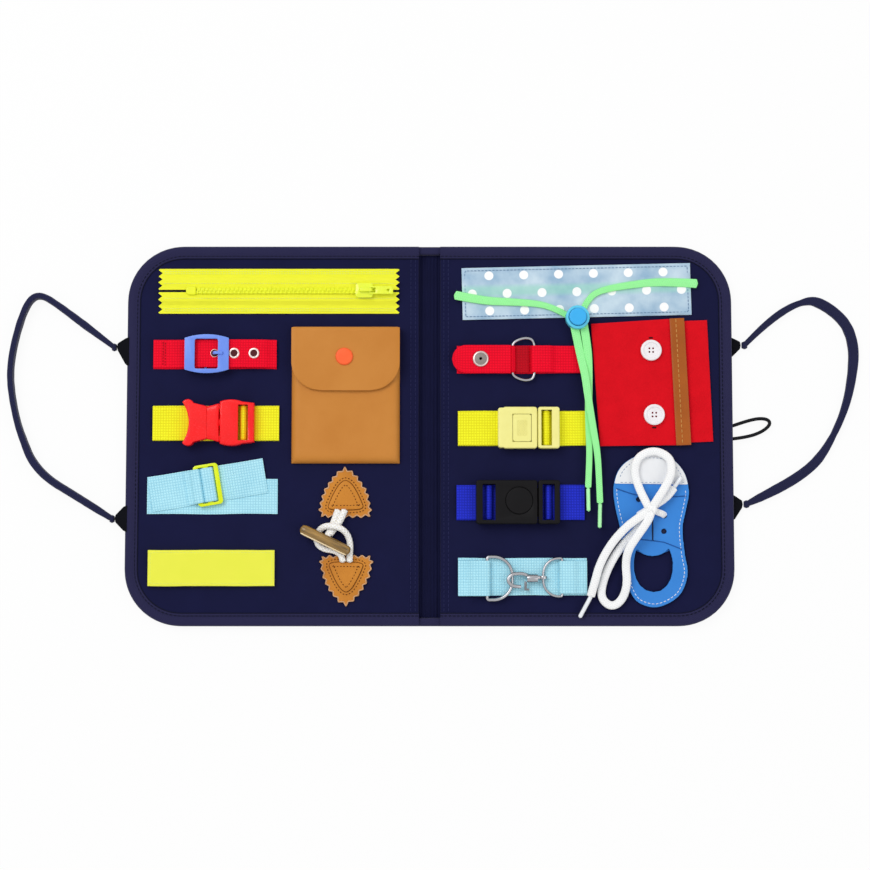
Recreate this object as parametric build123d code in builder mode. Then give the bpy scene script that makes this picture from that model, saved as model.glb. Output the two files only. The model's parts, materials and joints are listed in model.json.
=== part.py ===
"""A folding textile busy board: two padded covers joined by a spine, with fasteners to practise on.

Millimetres. The open board lies flat with its outer side on Z = 0 and its working side up.
X runs across the open board, from the left cover to the right one. Y points to the top edge.
The origin is the middle of the spine, on the plane that the board rests on.
"""

import math
import os

from build123d import *

# ---------------------------------------------------------------- board
BOARD_LENGTH = 433.0  # the open board, along X
BOARD_WIDTH = 272.0  # along Y
CORNER_RADIUS = 40.0
SPINE_WIDTH = 15.0
SPINE_THICKNESS = 2.0
SPINE_LIFT = 0.6  # the spine's cloth clears the table
PANEL_THICKNESS = 7.0
HINGE_GAP = 0.3  # between the spine and each cover
BINDING_WIDTH = 6.0
BINDING_HEIGHT = 8.0
BINDING_ROUND = 2.4
FLANGE_WIDTH = 2.8  # the stitched edge of the binding, on the working side
FLANGE_THICKNESS = 0.6
SPINE_BINDING_HEIGHT = 6.2

EDGE_X = BOARD_LENGTH / 2
EDGE_Y = BOARD_WIDTH / 2
SPINE_X = SPINE_WIDTH / 2
TOP = PANEL_THICKNESS  # the working face

# ---------------------------------------------------------------- shared clearances
RUN = 0.3  # between a moving piece and its neighbour
LIE = 0.2  # between a loose piece and what it lies on

# ---------------------------------------------------------------- handles
HANDLE_PIVOT_X = 226.0
HANDLE_ROLL = 8.0  # the sewn roll at each end of a handle, along Y
GUSSET_TIP = 8.0
LEFT_STRAP = (4.4, 8.6)  # across the route, and in height: this strap stands on its edge
RIGHT_STRAP = (7.6, 4.4)  # this one lies flatter
LEFT_GUSSETS = ((49.5, 70.2, 63.1), (-69.4, -50.4, -59.9))  # low Y, high Y, tip Y
RIGHT_GUSSETS = ((56.0, 71.0, 64.9), (-61.1, -42.2, -49.3))
LEFT_HANDLE = (
    (-226.0, 63.1), (-254.4, 84.4), (-268.7, 95.0), (-278.7, 101.0), (-286.2, 98.8),
    (-292.3, 86.8), (-298.0, 65.5), (-300.5, 46.5), (-299.2, 30.0), (-294.7, 8.7),
    (-289.4, -5.5), (-284.0, -18.6), (-272.3, -31.5), (-253.3, -42.8), (-226.0, -59.9),
)  # fmt: skip
RIGHT_HANDLE = (
    (226.0, 64.9), (239.1, 78.3), (256.9, 91.7), (271.1, 97.2), (279.0, 96.5),
    (291.0, 89.1), (300.4, 78.7), (304.6, 63.1), (303.6, 46.5), (299.5, 25.3),
    (292.3, 6.3), (281.7, -12.6), (271.1, -24.4), (250.9, -37.5), (226.0, -49.3),
)  # fmt: skip

# ---------------------------------------------------------------- webbing
WEB = 1.0  # thickness of every webbing strap
NARROW_WEB = 20.0
WIDE_WEB = 25.0
WEB_LEVEL = TOP + WEB + WEB / 2  # middle of a strap that lies on its sewn base strap
SEWN_SINK = 0.1  # a layer that is sewn down sinks this far into the one under it

# ---------------------------------------------------------------- zipper
TAPE_LEFT, TAPE_RIGHT = -194.5, -21.5
ZIP_Y = 103.3
TAPE_HALF = 16.2
TAPE = 0.6
TAPE_RISE = 1.6  # the slider's lower plate runs under the tapes beside the chain
PINKING = 3.0  # depth of the zigzag that the tape ends are cut with
TOOTH_PITCH = 3.0
TOOTH = (1.5, 2.65, 1.7)  # along X, across the chain, height
TOOTH_GAP = 0.35  # from the middle of the chain to a tooth's tip
CHAIN_LEFT, CHAIN_RIGHT = -165.5, -28.0
SLIDER_LEFT, SLIDER_RIGHT = -53.0, -40.5
SLIDER_HALF = 5.2
SLIDER_PLATE = 1.0
SLIDER_WEB = 0.4  # the thin wall that joins the slider's plates, between the tapes
PULL_PIN_X = -42.6  # the eye's far bar, which turns inside the bridge
PULL_LENGTH = 16.0
PULL_THICKNESS = 1.0
PULL_BAR = 1.0
PULL_EYE = 3.4
PULL_HALF = 2.8

# ---------------------------------------------------------------- tongue buckle belt
BELT_LEFT, BELT_RIGHT, BELT_Y = -197.4, -109.4, 58.0
FRAME_LEFT, FRAME_RIGHT, FRAME_Y = -174.5, -143.1, 57.4
FRAME_HALF = 13.9
FRAME_WINDOW = (-167.4, -150.7, 10.8)  # left, right, half height
FRAME_BAR = 2.2
BELT_RISE = 3.3  # the strap stands this much higher where it passes over the buckle's pin
EYELETS = (-153.4, -139.4, -125.3)
EYELET_OUTER, EYELET_HOLE, EYELET_RIM = 3.75, 2.5, 0.3
PIN_X, PIN_RADIUS = -160.0, 0.9
PIN_Z = TOP + WEB + 1.4
PRONG_TIP = -147.3
PRONG_HALF, PRONG_THICKNESS = 1.0, 1.3

# ---------------------------------------------------------------- side release buckle
SIDE_LEFT, SIDE_RIGHT, SIDE_Y = -197.4, -107.3, 8.1
SIDE_HALF = 16.5
SOCKET_LEFT, SOCKET_BODY_RIGHT, SOCKET_RIGHT = -148.9, -136.1, -124.5
SIDE_THICKNESS = 7.2
SIDE_WALL = 1.4
ARM_TIP = -141.0
PLUG_LEFT = -175.5
PLUG_BAR_X = -165.6
SOCKET_BAR_X = -132.5

# ---------------------------------------------------------------- tri-glide
GLIDE_LEFT, GLIDE_RIGHT = -200.8, -108.0
GLIDE_Y = -44.0
GLIDE_TILT = 9.5
GLIDE_CENTRE = (-157.3, -36.0)
GLIDE_SIZE = (17.8, 29.4)
GLIDE_BAR = 2.4
GLIDE_RIM = 1.9

# ---------------------------------------------------------------- hook and loop strip
HOOK_LEFT, HOOK_RIGHT, HOOK_Y = -199.5, -109.9, -94.9
HOOK_WIDTH, HOOK_THICKNESS = 25.4, 1.6

# ---------------------------------------------------------------- pouch
POUCH_LEFT, POUCH_RIGHT = -98.4, -21.3
POUCH_LOW, POUCH_HIGH = -20.6, 75.4
POUCH_SKIN = 1.0
POUCH_ROOM = 4.4  # inner depth of the pocket
FLAP_LOW = 31.0
FLAP_RADIUS = 21.0
FLAP_GAP = 1.2  # between the pocket's front and its flap: the snap lives here
FLAP_BACK = 1.2
SNAP = (-60.7, 55.2)
SNAP_RADIUS = 6.2
SNAP_DOME = 1.6
STUD_RADIUS = 2.2
SNAP_SOCKET = (5.0, 2.8)  # outer and inner radius

# ---------------------------------------------------------------- toggle
TAB = 1.2  # thickness of the leather tabs
TOGGLE = (-73.7, -75.3)
TOGGLE_ANGLE = -25.8
TOGGLE_LENGTH, TOGGLE_RADIUS = 39.0, 3.75
TOGGLE_NECK, TOGGLE_NECK_LENGTH = 2.0, 10.0
TOGGLE_Z = TOP + 7.5
TOGGLE_CORD = 1.9  # radius

# ---------------------------------------------------------------- closure
CLOSURE_BUTTON = (-200.0, 3.0)
CLOSURE_RADIUS, CLOSURE_HEIGHT = 7.0, 2.0

# ---------------------------------------------------------------- lace tunnel and cord lock
TUNNEL = (105.3, 103.1)
TUNNEL_SIZE = (164.0, 37.5)
TUNNEL_TILT = 1.3
TUNNEL_THICKNESS = 1.4
LACE_WIDTH, LACE_THICKNESS = 6.5, 1.4
LOCK = (105.5, 83.3)
LOCK_RADIUS, LOCK_HEIGHT = 8.5, 7.6
LOCK_LEVEL = TOP + 3.4  # it clears the straps that it slides over
LOCK_WAY = -80.2  # the direction of its slide, in degrees from X
LOCK_LACES = 3.3  # from the middle of its slot to the middle of each lace
LOCK_BUTTON_RADIUS, LOCK_BUTTON_HEIGHT = 6.2, 2.2  # it stands this far out of the body
LOCK_PRESS = 2.0

# ---------------------------------------------------------------- ring strap
RING_LEFT, RING_RIGHT, RING_Y = 19.5, 113.0, 53.9
RING_FOLD_X = 58.7
RING_BAR_X = 74.8
RING_WIRE = 1.0
RING_HALF = 14.65
STRAP_TIP = 16.1
STRAP_SNAP = (36.4, 53.9)
STRAP_SNAP_RADIUS = 5.8

# ---------------------------------------------------------------- centre press buckle
PALE_LEFT, PALE_RIGHT, PALE_Y = 20.2, 111.2, 4.5
PALE_SOCKET = (52.0, 76.4)
PALE_PLUG = (77.0, 92.3)
PALE_HALF = 14.8
PALE_THICKNESS = 6.6
PALE_WALL = 1.4
PALE_BUTTON = (65.6, 4.2, 13.0, 19.4)  # centre X and Y, length and width
PALE_TONGUE = 11.0
PALE_RECESS = (50.0, 57.4)
PALE_WINDOW = (79.3, 86.9)
PRESS = 1.0

# ---------------------------------------------------------------- round button buckle
BLACK_LEFT, BLACK_RIGHT, BLACK_Y = 19.1, 110.1, -48.4
BLACK_SOCKET = (32.9, 76.4)
BLACK_PLUG = (77.0, 92.3)
BLACK_HALF = 15.5
BLACK_THICKNESS = 7.2
BLACK_BUTTON = (63.4, -47.4)
BLACK_BUTTON_RADIUS = 9.6
BLACK_WINDOWS = ((37.6, 46.7), (80.0, 88.6))
BLACK_PRESS = 1.2

# ---------------------------------------------------------------- trigger clasp
CLASP_LEFT, CLASP_RIGHT, CLASP_Y = 20.2, 111.5, -101.0
CLASP_WEB = 26.4
# bar X, round side X, centre Y, half height, wire radius, strap width
LEFT_RING = (40.7, 58.4, -102.2, 15.2, 1.15, 25.0)
RIGHT_RING = (93.8, 80.4, -101.5, 13.4, 0.9, 23.0)
HOOK_Z = TOP + 4.8
HOOK_WIRE = 1.3

# ---------------------------------------------------------------- felt module
FELT = 1.6
FELT_CORNERS = ((115.5, 79.4), (176.5, 83.3), (180.5, -7.6), (121.4, -8.3))
FELT_BASE = ((115.5, 79.4), (198.6, 82.3), (202.1, -4.9), (121.4, -8.3))
BAND = ((171.5, 83.1), (181.9, 83.5), (186.0, -7.5), (175.5, -7.9))
BAND_THICKNESS = 1.2
BUTTONS = ((158.1, 60.2), (159.9, 14.0))
BUTTON_RADIUS, BUTTON_THICKNESS = 7.5, 2.6
SLIT_WIDTH, SLIT_REACH = 1.0, 20.0

# ---------------------------------------------------------------- shoe
SHOE_X = 157.8
SHOE_TOE, SHOE_HEEL = -8.7, -122.5
SHOE_LAYER = 1.8
CAP_LOW = -35.8
LACE_RADIUS = 2.2
DRAW_AGLET = 1.9


def write(piece, name):
    """Labels a finished piece and writes it as one STEP file."""
    piece.label = name
    export_step(piece, f"parts/{name}.step")


def radii_of(points, share=0.45):
    """The largest bend that each corner's two runs allow, for a route of tangent arcs."""
    radii = []
    for before, at, after in zip(points, points[1:], points[2:]):
        into = Vector(*at) - Vector(*before)
        out = Vector(*after) - Vector(*at)
        half_turn = math.radians(into.get_angle(out)) / 2
        shorter = min(into.length, out.length)
        radii.append(share * shorter / math.tan(half_turn))
    return radii


def swept_tube(name, points, radius):
    """A round cord along a route of straight runs joined by tangent arcs."""
    radii = radii_of(points)
    with BuildPart() as tube:
        with BuildLine() as route:
            FilletPolyline(*points, radius=radii)
        path = route.wires()[0]
        with BuildSketch(Plane(path @ 0, z_dir=path % 0)):
            Circle(radius)
        sweep(path=path)
    expected = math.pi * radius**2 * path.length
    print(name, "radii", [round(r, 1) for r in radii], "volume", round(tube.part.volume, 1),
          "of", round(expected, 1))  # fmt: skip
    return tube.part


def swept_band(points, width, height):
    """A flat band along a level route, width across the route and height along Z."""
    with BuildPart() as band:
        with BuildLine() as route:
            FilletPolyline(*points, radius=radii_of(points))
        path = route.wires()[0]
        with BuildSketch(Plane(path @ 0, x_dir=(0, 0, 1), z_dir=path % 0)):
            RectangleRounded(height, width, min(width, height) * 0.3)
        sweep(path=path)
    return band.part


def strap(route, centre, width, thickness=WEB, bend=1.2):
    """A strap as wide as width along Y, whose middle follows a route of (X, Z) points."""
    with BuildPart() as piece:
        with BuildSketch(Plane.XZ.offset(-(centre + width / 2))):
            with BuildLine() as line:
                if len(route) > 2:
                    FilletPolyline(*route, radius=bend)
                else:
                    Polyline(*route)
            trace(line.line.edges(), line_width=thickness)
        extrude(amount=width)
    return piece.part


def wrap_radius(bar_radius):
    """Distance from a round bar's middle to the middle of a strap that wraps it."""
    return bar_radius + LIE + WEB / 2


def bar_level(bar_radius):
    """Height of a round bar whose strap comes off the base strap without a step."""
    return WEB_LEVEL + wrap_radius(bar_radius)


def looped_strap(end, bar_x, bar_radius, centre, width, turn=180.0, back=0.0):
    """A strap from its sewn end to a round bar and round it; back is how far it then runs level."""
    way = 1 if bar_x > end else -1
    wrap = wrap_radius(bar_radius)
    level = bar_level(bar_radius)
    sewn = WEB_LEVEL + WEB - SEWN_SINK
    with BuildPart() as piece:
        with BuildSketch(Plane.XZ.offset(-(centre + width / 2))):
            with BuildLine() as line:
                Line((end, WEB_LEVEL), (bar_x, WEB_LEVEL))
                CenterArc((bar_x, level), wrap, -90, way * turn)
            trace(line.line.edges(), line_width=WEB)
        extrude(amount=width)
        if back:
            add(strap(((bar_x, level + wrap), (bar_x - way * back, level + wrap),
                       (bar_x - way * (back + 6.0), sewn), (end, sewn)), centre, width, bend=1.5))  # fmt: skip
    return piece.part


def slab(low, high):
    """A rectangular block from its low corner to its high one."""
    middle = [(a + b) / 2 for a, b in zip(low, high)]
    with BuildPart() as block:
        with Locations(tuple(middle)):
            Box(*(b - a for a, b in zip(low, high)))
    return block.part


def drum(centre, radius, low, high, hole=0.0):
    """An upright disc or ring from low to high."""
    with BuildPart() as piece:
        with BuildSketch(Plane.XY.offset(low)):
            with Locations(centre[:2]):
                Circle(radius)
                if hole:
                    Circle(hole, mode=Mode.SUBTRACT)
        extrude(amount=high - low)
    return piece.part


def polygon_slab(corners, low, high):
    """A flat piece with straight edges through its corners."""
    with BuildPart() as piece:
        with BuildSketch(Plane.XY.offset(low)):
            with BuildLine():
                Polyline(*corners, close=True)
            make_face()
        extrude(amount=high - low)
    return piece.part


def cover_outline(side, inset, start=SPINE_X):
    """Outline of one cover: square at the spine, round at its outer corners."""
    outer = EDGE_X - inset
    with BuildSketch() as sketch:
        with Locations((side * (start + outer) / 2, 0)):
            Rectangle(outer - start, 2 * (EDGE_Y - inset))
        corners = sketch.vertices().group_by(Axis.X)[-1 if side > 0 else 0]
        fillet(corners, radius=CORNER_RADIUS - inset)
    return sketch.sketch


# ================================================================ covers and spine
def panel(side):
    """The padded cover with its stiff board sewn in."""
    with BuildPart() as piece:
        with BuildSketch():
            add(cover_outline(side, BINDING_WIDTH))
        extrude(amount=PANEL_THICKNESS)
        if side < 0:
            with Locations((*CLOSURE_BUTTON, 0)):
                Cylinder(CLOSURE_RADIUS + RUN, 2 * (CLOSURE_HEIGHT + 2 * RUN), mode=Mode.SUBTRACT)
    return piece.part


def binding(side, gussets, section):
    """The rolled edge tape round a cover, with the two cloth gussets that hold the handle."""
    inset = BINDING_WIDTH / 2
    x, y, z = side * (EDGE_X - inset), EDGE_Y - inset, BINDING_HEIGHT / 2
    start = side * SPINE_X
    width, gusset_height = section
    reach = max(gusset_height / 2, width * 0.4)
    with BuildPart() as piece:
        with BuildLine() as route:
            FilletPolyline((start, y, z), (x, y, z), (x, -y, z), (start, -y, z), radius=CORNER_RADIUS - inset)
        path = route.wires()[0]
        with BuildSketch(Plane(path @ 0, x_dir=(0, 1, 0), z_dir=path % 0)):
            RectangleRounded(BINDING_WIDTH, BINDING_HEIGHT, BINDING_ROUND)
        sweep(path=path)
        with BuildSketch(Plane.XY.offset(TOP)):
            add(cover_outline(side, BINDING_WIDTH * 0.6))
            add(cover_outline(side, BINDING_WIDTH + FLANGE_WIDTH), mode=Mode.SUBTRACT)
        extrude(amount=FLANGE_THICKNESS)
        root, tip = side * (EDGE_X - 1.5), side * (HANDLE_PIVOT_X - reach - RUN)
        for low, high, middle in gussets:
            with BuildSketch():
                with BuildLine():
                    Polyline((root, low), (root, high), (tip, middle + GUSSET_TIP / 2),
                             (tip, middle - GUSSET_TIP / 2), close=True)  # fmt: skip
                make_face()
            extrude(amount=gusset_height)
    return piece.part


def handle(route, section):
    """A folded cloth strap, with a sewn roll at each end that turns in its gusset."""
    width, height = section
    level = height / 2 + LIE
    points = [(x, y, level) for x, y in route]
    with BuildPart() as piece:
        add(swept_band(points, width, height))
        for x, y in (route[0], route[-1]):
            with BuildSketch(Plane.XZ.offset(-(y + HANDLE_ROLL / 2))):
                with Locations((x, level)):
                    Circle(height / 2)
            extrude(amount=HANDLE_ROLL)
    return piece.part


def spine():
    """The thin cloth between the covers, with the binding's roll across both of its ends."""
    half = SPINE_X - HINGE_GAP
    inner_y = EDGE_Y - BINDING_WIDTH
    with BuildPart() as piece:
        add(slab((-half, -inner_y, SPINE_LIFT), (half, inner_y, SPINE_LIFT + SPINE_THICKNESS)))
        for sign in (-1, 1):
            with BuildSketch(Plane.YZ.offset(-half)):
                with Locations((sign * (EDGE_Y - BINDING_WIDTH / 2), SPINE_BINDING_HEIGHT / 2)):
                    RectangleRounded(BINDING_WIDTH, SPINE_BINDING_HEIGHT, BINDING_ROUND)
            extrude(amount=2 * half)
    return piece.part


def closure_elastic():
    """The elastic loop at the edge of the right cover."""
    points = (
        (217.2, 6.9, 4.0), (229.7, 11.4, 3.6), (240.8, 12.2, 3.2), (244.4, 8.4, 3.0),
        (238.4, 2.7, 3.0), (227.2, -1.4, 3.4), (217.2, -2.6, 4.0),
    )  # fmt: skip
    return swept_tube("closure_elastic", points, 1.0)


def fit_covers():
    """Writes the covers, the spine, the handles and the closure."""
    write(panel(-1), "left_panel")
    write(panel(1), "right_panel")
    write(binding(-1, LEFT_GUSSETS, LEFT_STRAP), "left_binding")
    write(binding(1, RIGHT_GUSSETS, RIGHT_STRAP), "right_binding")
    write(handle(LEFT_HANDLE, LEFT_STRAP), "left_handle")
    write(handle(RIGHT_HANDLE, RIGHT_STRAP), "right_handle")
    write(spine(), "spine_fabric")
    write(closure_elastic(), "closure_elastic")


# ================================================================ zipper
def tape(side):
    """One zipper tape: sewn down along its outer edge, raised beside the chain, pinked at its ends."""
    low, high = TOP + TAPE / 2, TOP + TAPE / 2 + TAPE_RISE
    route = (
        (side * TAPE_HALF, low),
        (side * (SLIDER_HALF + 5.0), low),
        (side * (SLIDER_HALF + 2.0), high),
        (side * TOOTH_GAP * 2.5, high),
    )
    count = round(TAPE_HALF / PINKING)
    step = TAPE_HALF / count
    with BuildPart() as piece:
        with BuildSketch(Plane.YZ.offset(TAPE_LEFT)):
            with BuildLine() as line:
                FilletPolyline(*((ZIP_Y + y, z) for y, z in route), radius=1.0)
            trace(line.line.edges(), line_width=TAPE)
        extrude(amount=TAPE_RIGHT - TAPE_LEFT)
        with BuildSketch(Plane.XY.offset(TOP - 1)):
            for end, inward in ((TAPE_LEFT, 1), (TAPE_RIGHT, -1)):
                for notch in range(count):
                    y = ZIP_Y + side * notch * step
                    with BuildLine():
                        Polyline((end - inward, y), (end + inward * PINKING, y),
                                 (end - inward, y + side * step), close=True)  # fmt: skip
                    make_face()
        extrude(amount=2 * PANEL_THICKNESS, mode=Mode.SUBTRACT)
    return piece.part


def teeth(side, count):
    """One row of teeth. The rows are offset by half a pitch, and the slider's web runs between them."""
    length, depth, height = TOOTH
    tip = TOOTH_GAP if side > 0 else -TOOTH_GAP
    base = TOP + TAPE + TAPE_RISE
    shift = TOOTH_PITCH / 4 * side
    with BuildPart() as row:
        with BuildSketch(Plane.XY.offset(base)):
            middle = (CHAIN_LEFT + CHAIN_RIGHT) / 2 + shift
            with Locations((middle, ZIP_Y + tip + side * depth / 2)):
                with GridLocations(TOOTH_PITCH, 1, count, 1):
                    RectangleRounded(length, depth, 0.4)
        extrude(amount=height)
    return row.part


def zip_stop():
    """The moulded stop that closes the lower end of the chain, over both tapes."""
    base = TOP + TAPE + TAPE_RISE
    return slab((-174.5, ZIP_Y - 3.0, base), (-167.3, ZIP_Y + 3.0, base + TOOTH[2]))


def zipper():
    """Both tapes with their teeth, and the stop."""
    count = int((CHAIN_RIGHT - CHAIN_LEFT) / TOOTH_PITCH)
    with BuildPart() as chain:
        for side in (-1, 1):
            add(tape(side))
            add(teeth(side, count))
        add(zip_stop())
    return chain.part


def zip_slider():
    """Two plates joined by a thin web between the tapes, with a bridge for the pull."""
    lower = TOP + RUN
    tape_top = TOP + TAPE + TAPE_RISE
    upper = tape_top + TOOTH[2] + RUN
    middle = (SLIDER_LEFT + SLIDER_RIGHT) / 2
    length = SLIDER_RIGHT - SLIDER_LEFT
    plate = SLIDER_PLATE
    with BuildPart() as slider:
        for level in (lower, upper):
            with BuildSketch(Plane.XY.offset(level)):
                with Locations((middle, ZIP_Y)):
                    RectangleRounded(length, 2 * SLIDER_HALF, 2.4)
            extrude(amount=plate)
        add(slab((SLIDER_LEFT + 2, ZIP_Y - SLIDER_WEB / 2, lower),
                 (SLIDER_RIGHT - 2, ZIP_Y + SLIDER_WEB / 2, upper)))  # fmt: skip
        for side in (-1, 1):
            edge = ZIP_Y + side * (SLIDER_HALF - 0.5)
            add(slab((SLIDER_LEFT + 2.4, edge - 0.5, tape_top + RUN), (SLIDER_RIGHT - 2.4, edge + 0.5, upper)))
        with BuildSketch(Plane.XZ.offset(-(ZIP_Y + 1.1))):
            with BuildLine() as bridge:
                FilletPolyline((SLIDER_LEFT + 3, upper + 0.6), (SLIDER_LEFT + 3.6, upper + 3.2),
                               (SLIDER_RIGHT - 1.2, upper + 3.2), (SLIDER_RIGHT - 0.6, upper + 0.6),
                               radius=0.9)  # fmt: skip
            trace(bridge.line.edges(), line_width=1.0)
        extrude(amount=2.2)
    return slider.part


PULL_LEVEL = TOP + TAPE + TAPE_RISE + TOOTH[2] + RUN + SLIDER_PLATE + 0.85


def zip_pull():
    """The flat pull tab, whose eye hangs on the slider's bridge. It turns about the eye's far bar."""
    tip = PULL_PIN_X + PULL_LENGTH
    low = PULL_LEVEL - PULL_THICKNESS / 2
    with BuildPart() as pull:
        with BuildSketch(Plane.XY.offset(low)):
            with Locations(((PULL_PIN_X + tip) / 2, ZIP_Y)):
                RectangleRounded(PULL_LENGTH + PULL_BAR, 2 * PULL_HALF, PULL_BAR * 0.4)
            with Locations((PULL_PIN_X + PULL_BAR / 2 + PULL_EYE / 2, ZIP_Y)):
                Rectangle(PULL_EYE, 2 * (PULL_HALF - PULL_BAR), mode=Mode.SUBTRACT)
            with Locations((tip - 3.0, ZIP_Y)):
                Circle(1.0, mode=Mode.SUBTRACT)
        extrude(amount=PULL_THICKNESS)
    return pull.part


def fit_zipper():
    """Writes the zipper's pieces."""
    write(zipper(), "zipper_halves")
    write(zip_slider(), "zip_slider")
    write(zip_pull(), "zip_pull_tab")


# ================================================================ tongue buckle belt
BELT_HIGH = WEB_LEVEL + BELT_RISE
BELT_TOP = BELT_HIGH + WEB / 2
FRAME_LOW = BELT_TOP + LIE
FRAME_TOP = FRAME_LOW + FRAME_BAR


def belt_webbing():
    """The sewn base strap, and the strap that goes under both bars and over the pin."""
    route = (
        (BELT_LEFT, WEB_LEVEL),
        (-170.5, WEB_LEVEL),
        (-165.0, BELT_HIGH),
        (-119.0, BELT_HIGH),
        (-113.5, WEB_LEVEL),
        (BELT_RIGHT, WEB_LEVEL),
    )
    with BuildPart() as belt:
        add(slab((BELT_LEFT, BELT_Y - NARROW_WEB / 2, TOP), (BELT_RIGHT, BELT_Y + NARROW_WEB / 2, TOP + WEB)))
        add(strap(route, BELT_Y, NARROW_WEB))
        with BuildSketch(Plane.XY.offset(BELT_HIGH - WEB)):
            with Locations(*((x, BELT_Y) for x in EYELETS)):
                Circle(EYELET_HOLE + 0.4)
        extrude(amount=2 * WEB, mode=Mode.SUBTRACT)
    return belt.part


def metal_trim():
    """The belt's eyelets, the pouch's snap stud and the closure button."""
    low, high = BELT_HIGH - WEB / 2, BELT_TOP
    with BuildPart() as trim:
        for x in EYELETS:
            outer = EYELET_OUTER if x != EYELETS[0] else EYELET_OUTER - 0.6
            add(drum((x, BELT_Y), EYELET_HOLE + 0.4, low, high, EYELET_HOLE))
            if x != EYELETS[0]:
                add(drum((x, BELT_Y), outer, high, high + EYELET_RIM, EYELET_HOLE))
            add(drum((x, BELT_Y), outer, low - EYELET_RIM, low, EYELET_HOLE))
        front = TOP + 2 * POUCH_SKIN + POUCH_ROOM
        add(drum(SNAP, STUD_RADIUS + 2.2, front, front + 0.3))
        add(drum(SNAP, STUD_RADIUS, front + 0.3, front + FLAP_GAP - 0.1))
        add(drum(CLOSURE_BUTTON, CLOSURE_RADIUS, RUN, RUN + CLOSURE_HEIGHT))
        add(drum(CLOSURE_BUTTON, 2.0, RUN + CLOSURE_HEIGHT, CLOSURE_HEIGHT + 2 * RUN))
    return trim.part


def buckle_frame():
    """The barrel-shaped frame with a lug at each side that carries the pin."""
    left, right, half = FRAME_LEFT, FRAME_RIGHT, FRAME_HALF
    window_left, window_right, window_half = FRAME_WINDOW
    corner = half - 2.6
    middle = (left + right) / 2
    with BuildPart() as frame:
        with BuildSketch(Plane.XY.offset(FRAME_LOW)):
            with BuildLine():
                ThreePointArc((left, FRAME_Y - corner), (middle, FRAME_Y - half), (right, FRAME_Y - corner))
                Line((right, FRAME_Y - corner), (right, FRAME_Y + corner))
                ThreePointArc((right, FRAME_Y + corner), (middle, FRAME_Y + half), (left, FRAME_Y + corner))
                Line((left, FRAME_Y + corner), (left, FRAME_Y - corner))
            make_face()
            with Locations(((window_left + window_right) / 2, FRAME_Y)):
                RectangleRounded(window_right - window_left, 2 * window_half, 1.5, mode=Mode.SUBTRACT)
        extrude(amount=FRAME_BAR)
        lug_half = 1.8
        for side in (-1, 1):
            inner = FRAME_Y + side * (window_half + 0.35)
            outer = FRAME_Y + side * (half - 0.9)
            add(slab((PIN_X - lug_half, min(inner, outer), PIN_Z - lug_half * 0.75),
                     (PIN_X + lug_half, max(inner, outer), FRAME_LOW + 0.5)))  # fmt: skip
        with BuildSketch(Plane.XZ.offset(-(FRAME_Y + half - 1.5))):
            with Locations((PIN_X, PIN_Z)):
                Circle(PIN_RADIUS)
        extrude(amount=2 * half - 3.0)
    return frame.part


def prong():
    """The tongue: an eye on the pin, a rise through the first eyelet and a tip over the far bar."""
    tip_z = FRAME_TOP + LIE + PRONG_THICKNESS / 2
    route = (
        (PIN_X + 1.2, PIN_Z + 0.3),
        (EYELETS[0] - 1.6, PIN_Z + 0.3),
        (EYELETS[0] + 0.3, tip_z),
        (PRONG_TIP, tip_z),
    )
    with BuildPart() as tongue:
        with BuildSketch(Plane.XZ.offset(-(BELT_Y + PRONG_HALF))):
            with Locations((PIN_X, PIN_Z)):
                Circle(PIN_RADIUS + 0.75)
        extrude(amount=2 * PRONG_HALF)
        add(strap(route, BELT_Y, 2 * PRONG_HALF, PRONG_THICKNESS, 0.9))
        with BuildSketch(Plane.XZ.offset(-(BELT_Y + PRONG_HALF))):
            with Locations((PIN_X, PIN_Z)):
                Circle(PIN_RADIUS + 0.08)
        extrude(amount=2 * PRONG_HALF, mode=Mode.SUBTRACT)
        split(bisect_by=Plane.XY.offset(TOP + WEB + 0.1), keep=Keep.TOP)
    return tongue.part


def fit_belt():
    """Writes the belt's pieces."""
    write(belt_webbing(), "red_belt_webbing")
    write(metal_trim(), "left_metal_trim")
    write(buckle_frame(), "tongue_buckle_frame")
    write(prong(), "tongue_buckle_prong")


# ================================================================ side release buckle
SIDE_LOW = TOP + 2 * WEB + LIE
BAR_RADIUS = 1.2
SIDE_STRAP_HALF = WIDE_WEB / 2


def crossbar(x, centre, half, radius):
    """A round bar along Y that a strap wraps, from the base strap's level."""
    with BuildPart() as bar:
        with BuildSketch(Plane.XZ.offset(-(centre + half))):
            with Locations((x, bar_level(radius))):
                Circle(radius)
        extrude(amount=2 * half)
    return bar.part


def base_and_loop(span, centre, width, bar_x, bar_radius, end):
    """The sewn base strap, and the fixed strap that holds one half of a buckle by its bar."""
    with BuildPart() as webbing:
        add(slab((span[0], centre - width / 2, TOP), (span[1], centre + width / 2, TOP + WEB)))
        add(looped_strap(end, bar_x, bar_radius, centre, width, turn=250.0))
    return webbing.part


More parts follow.
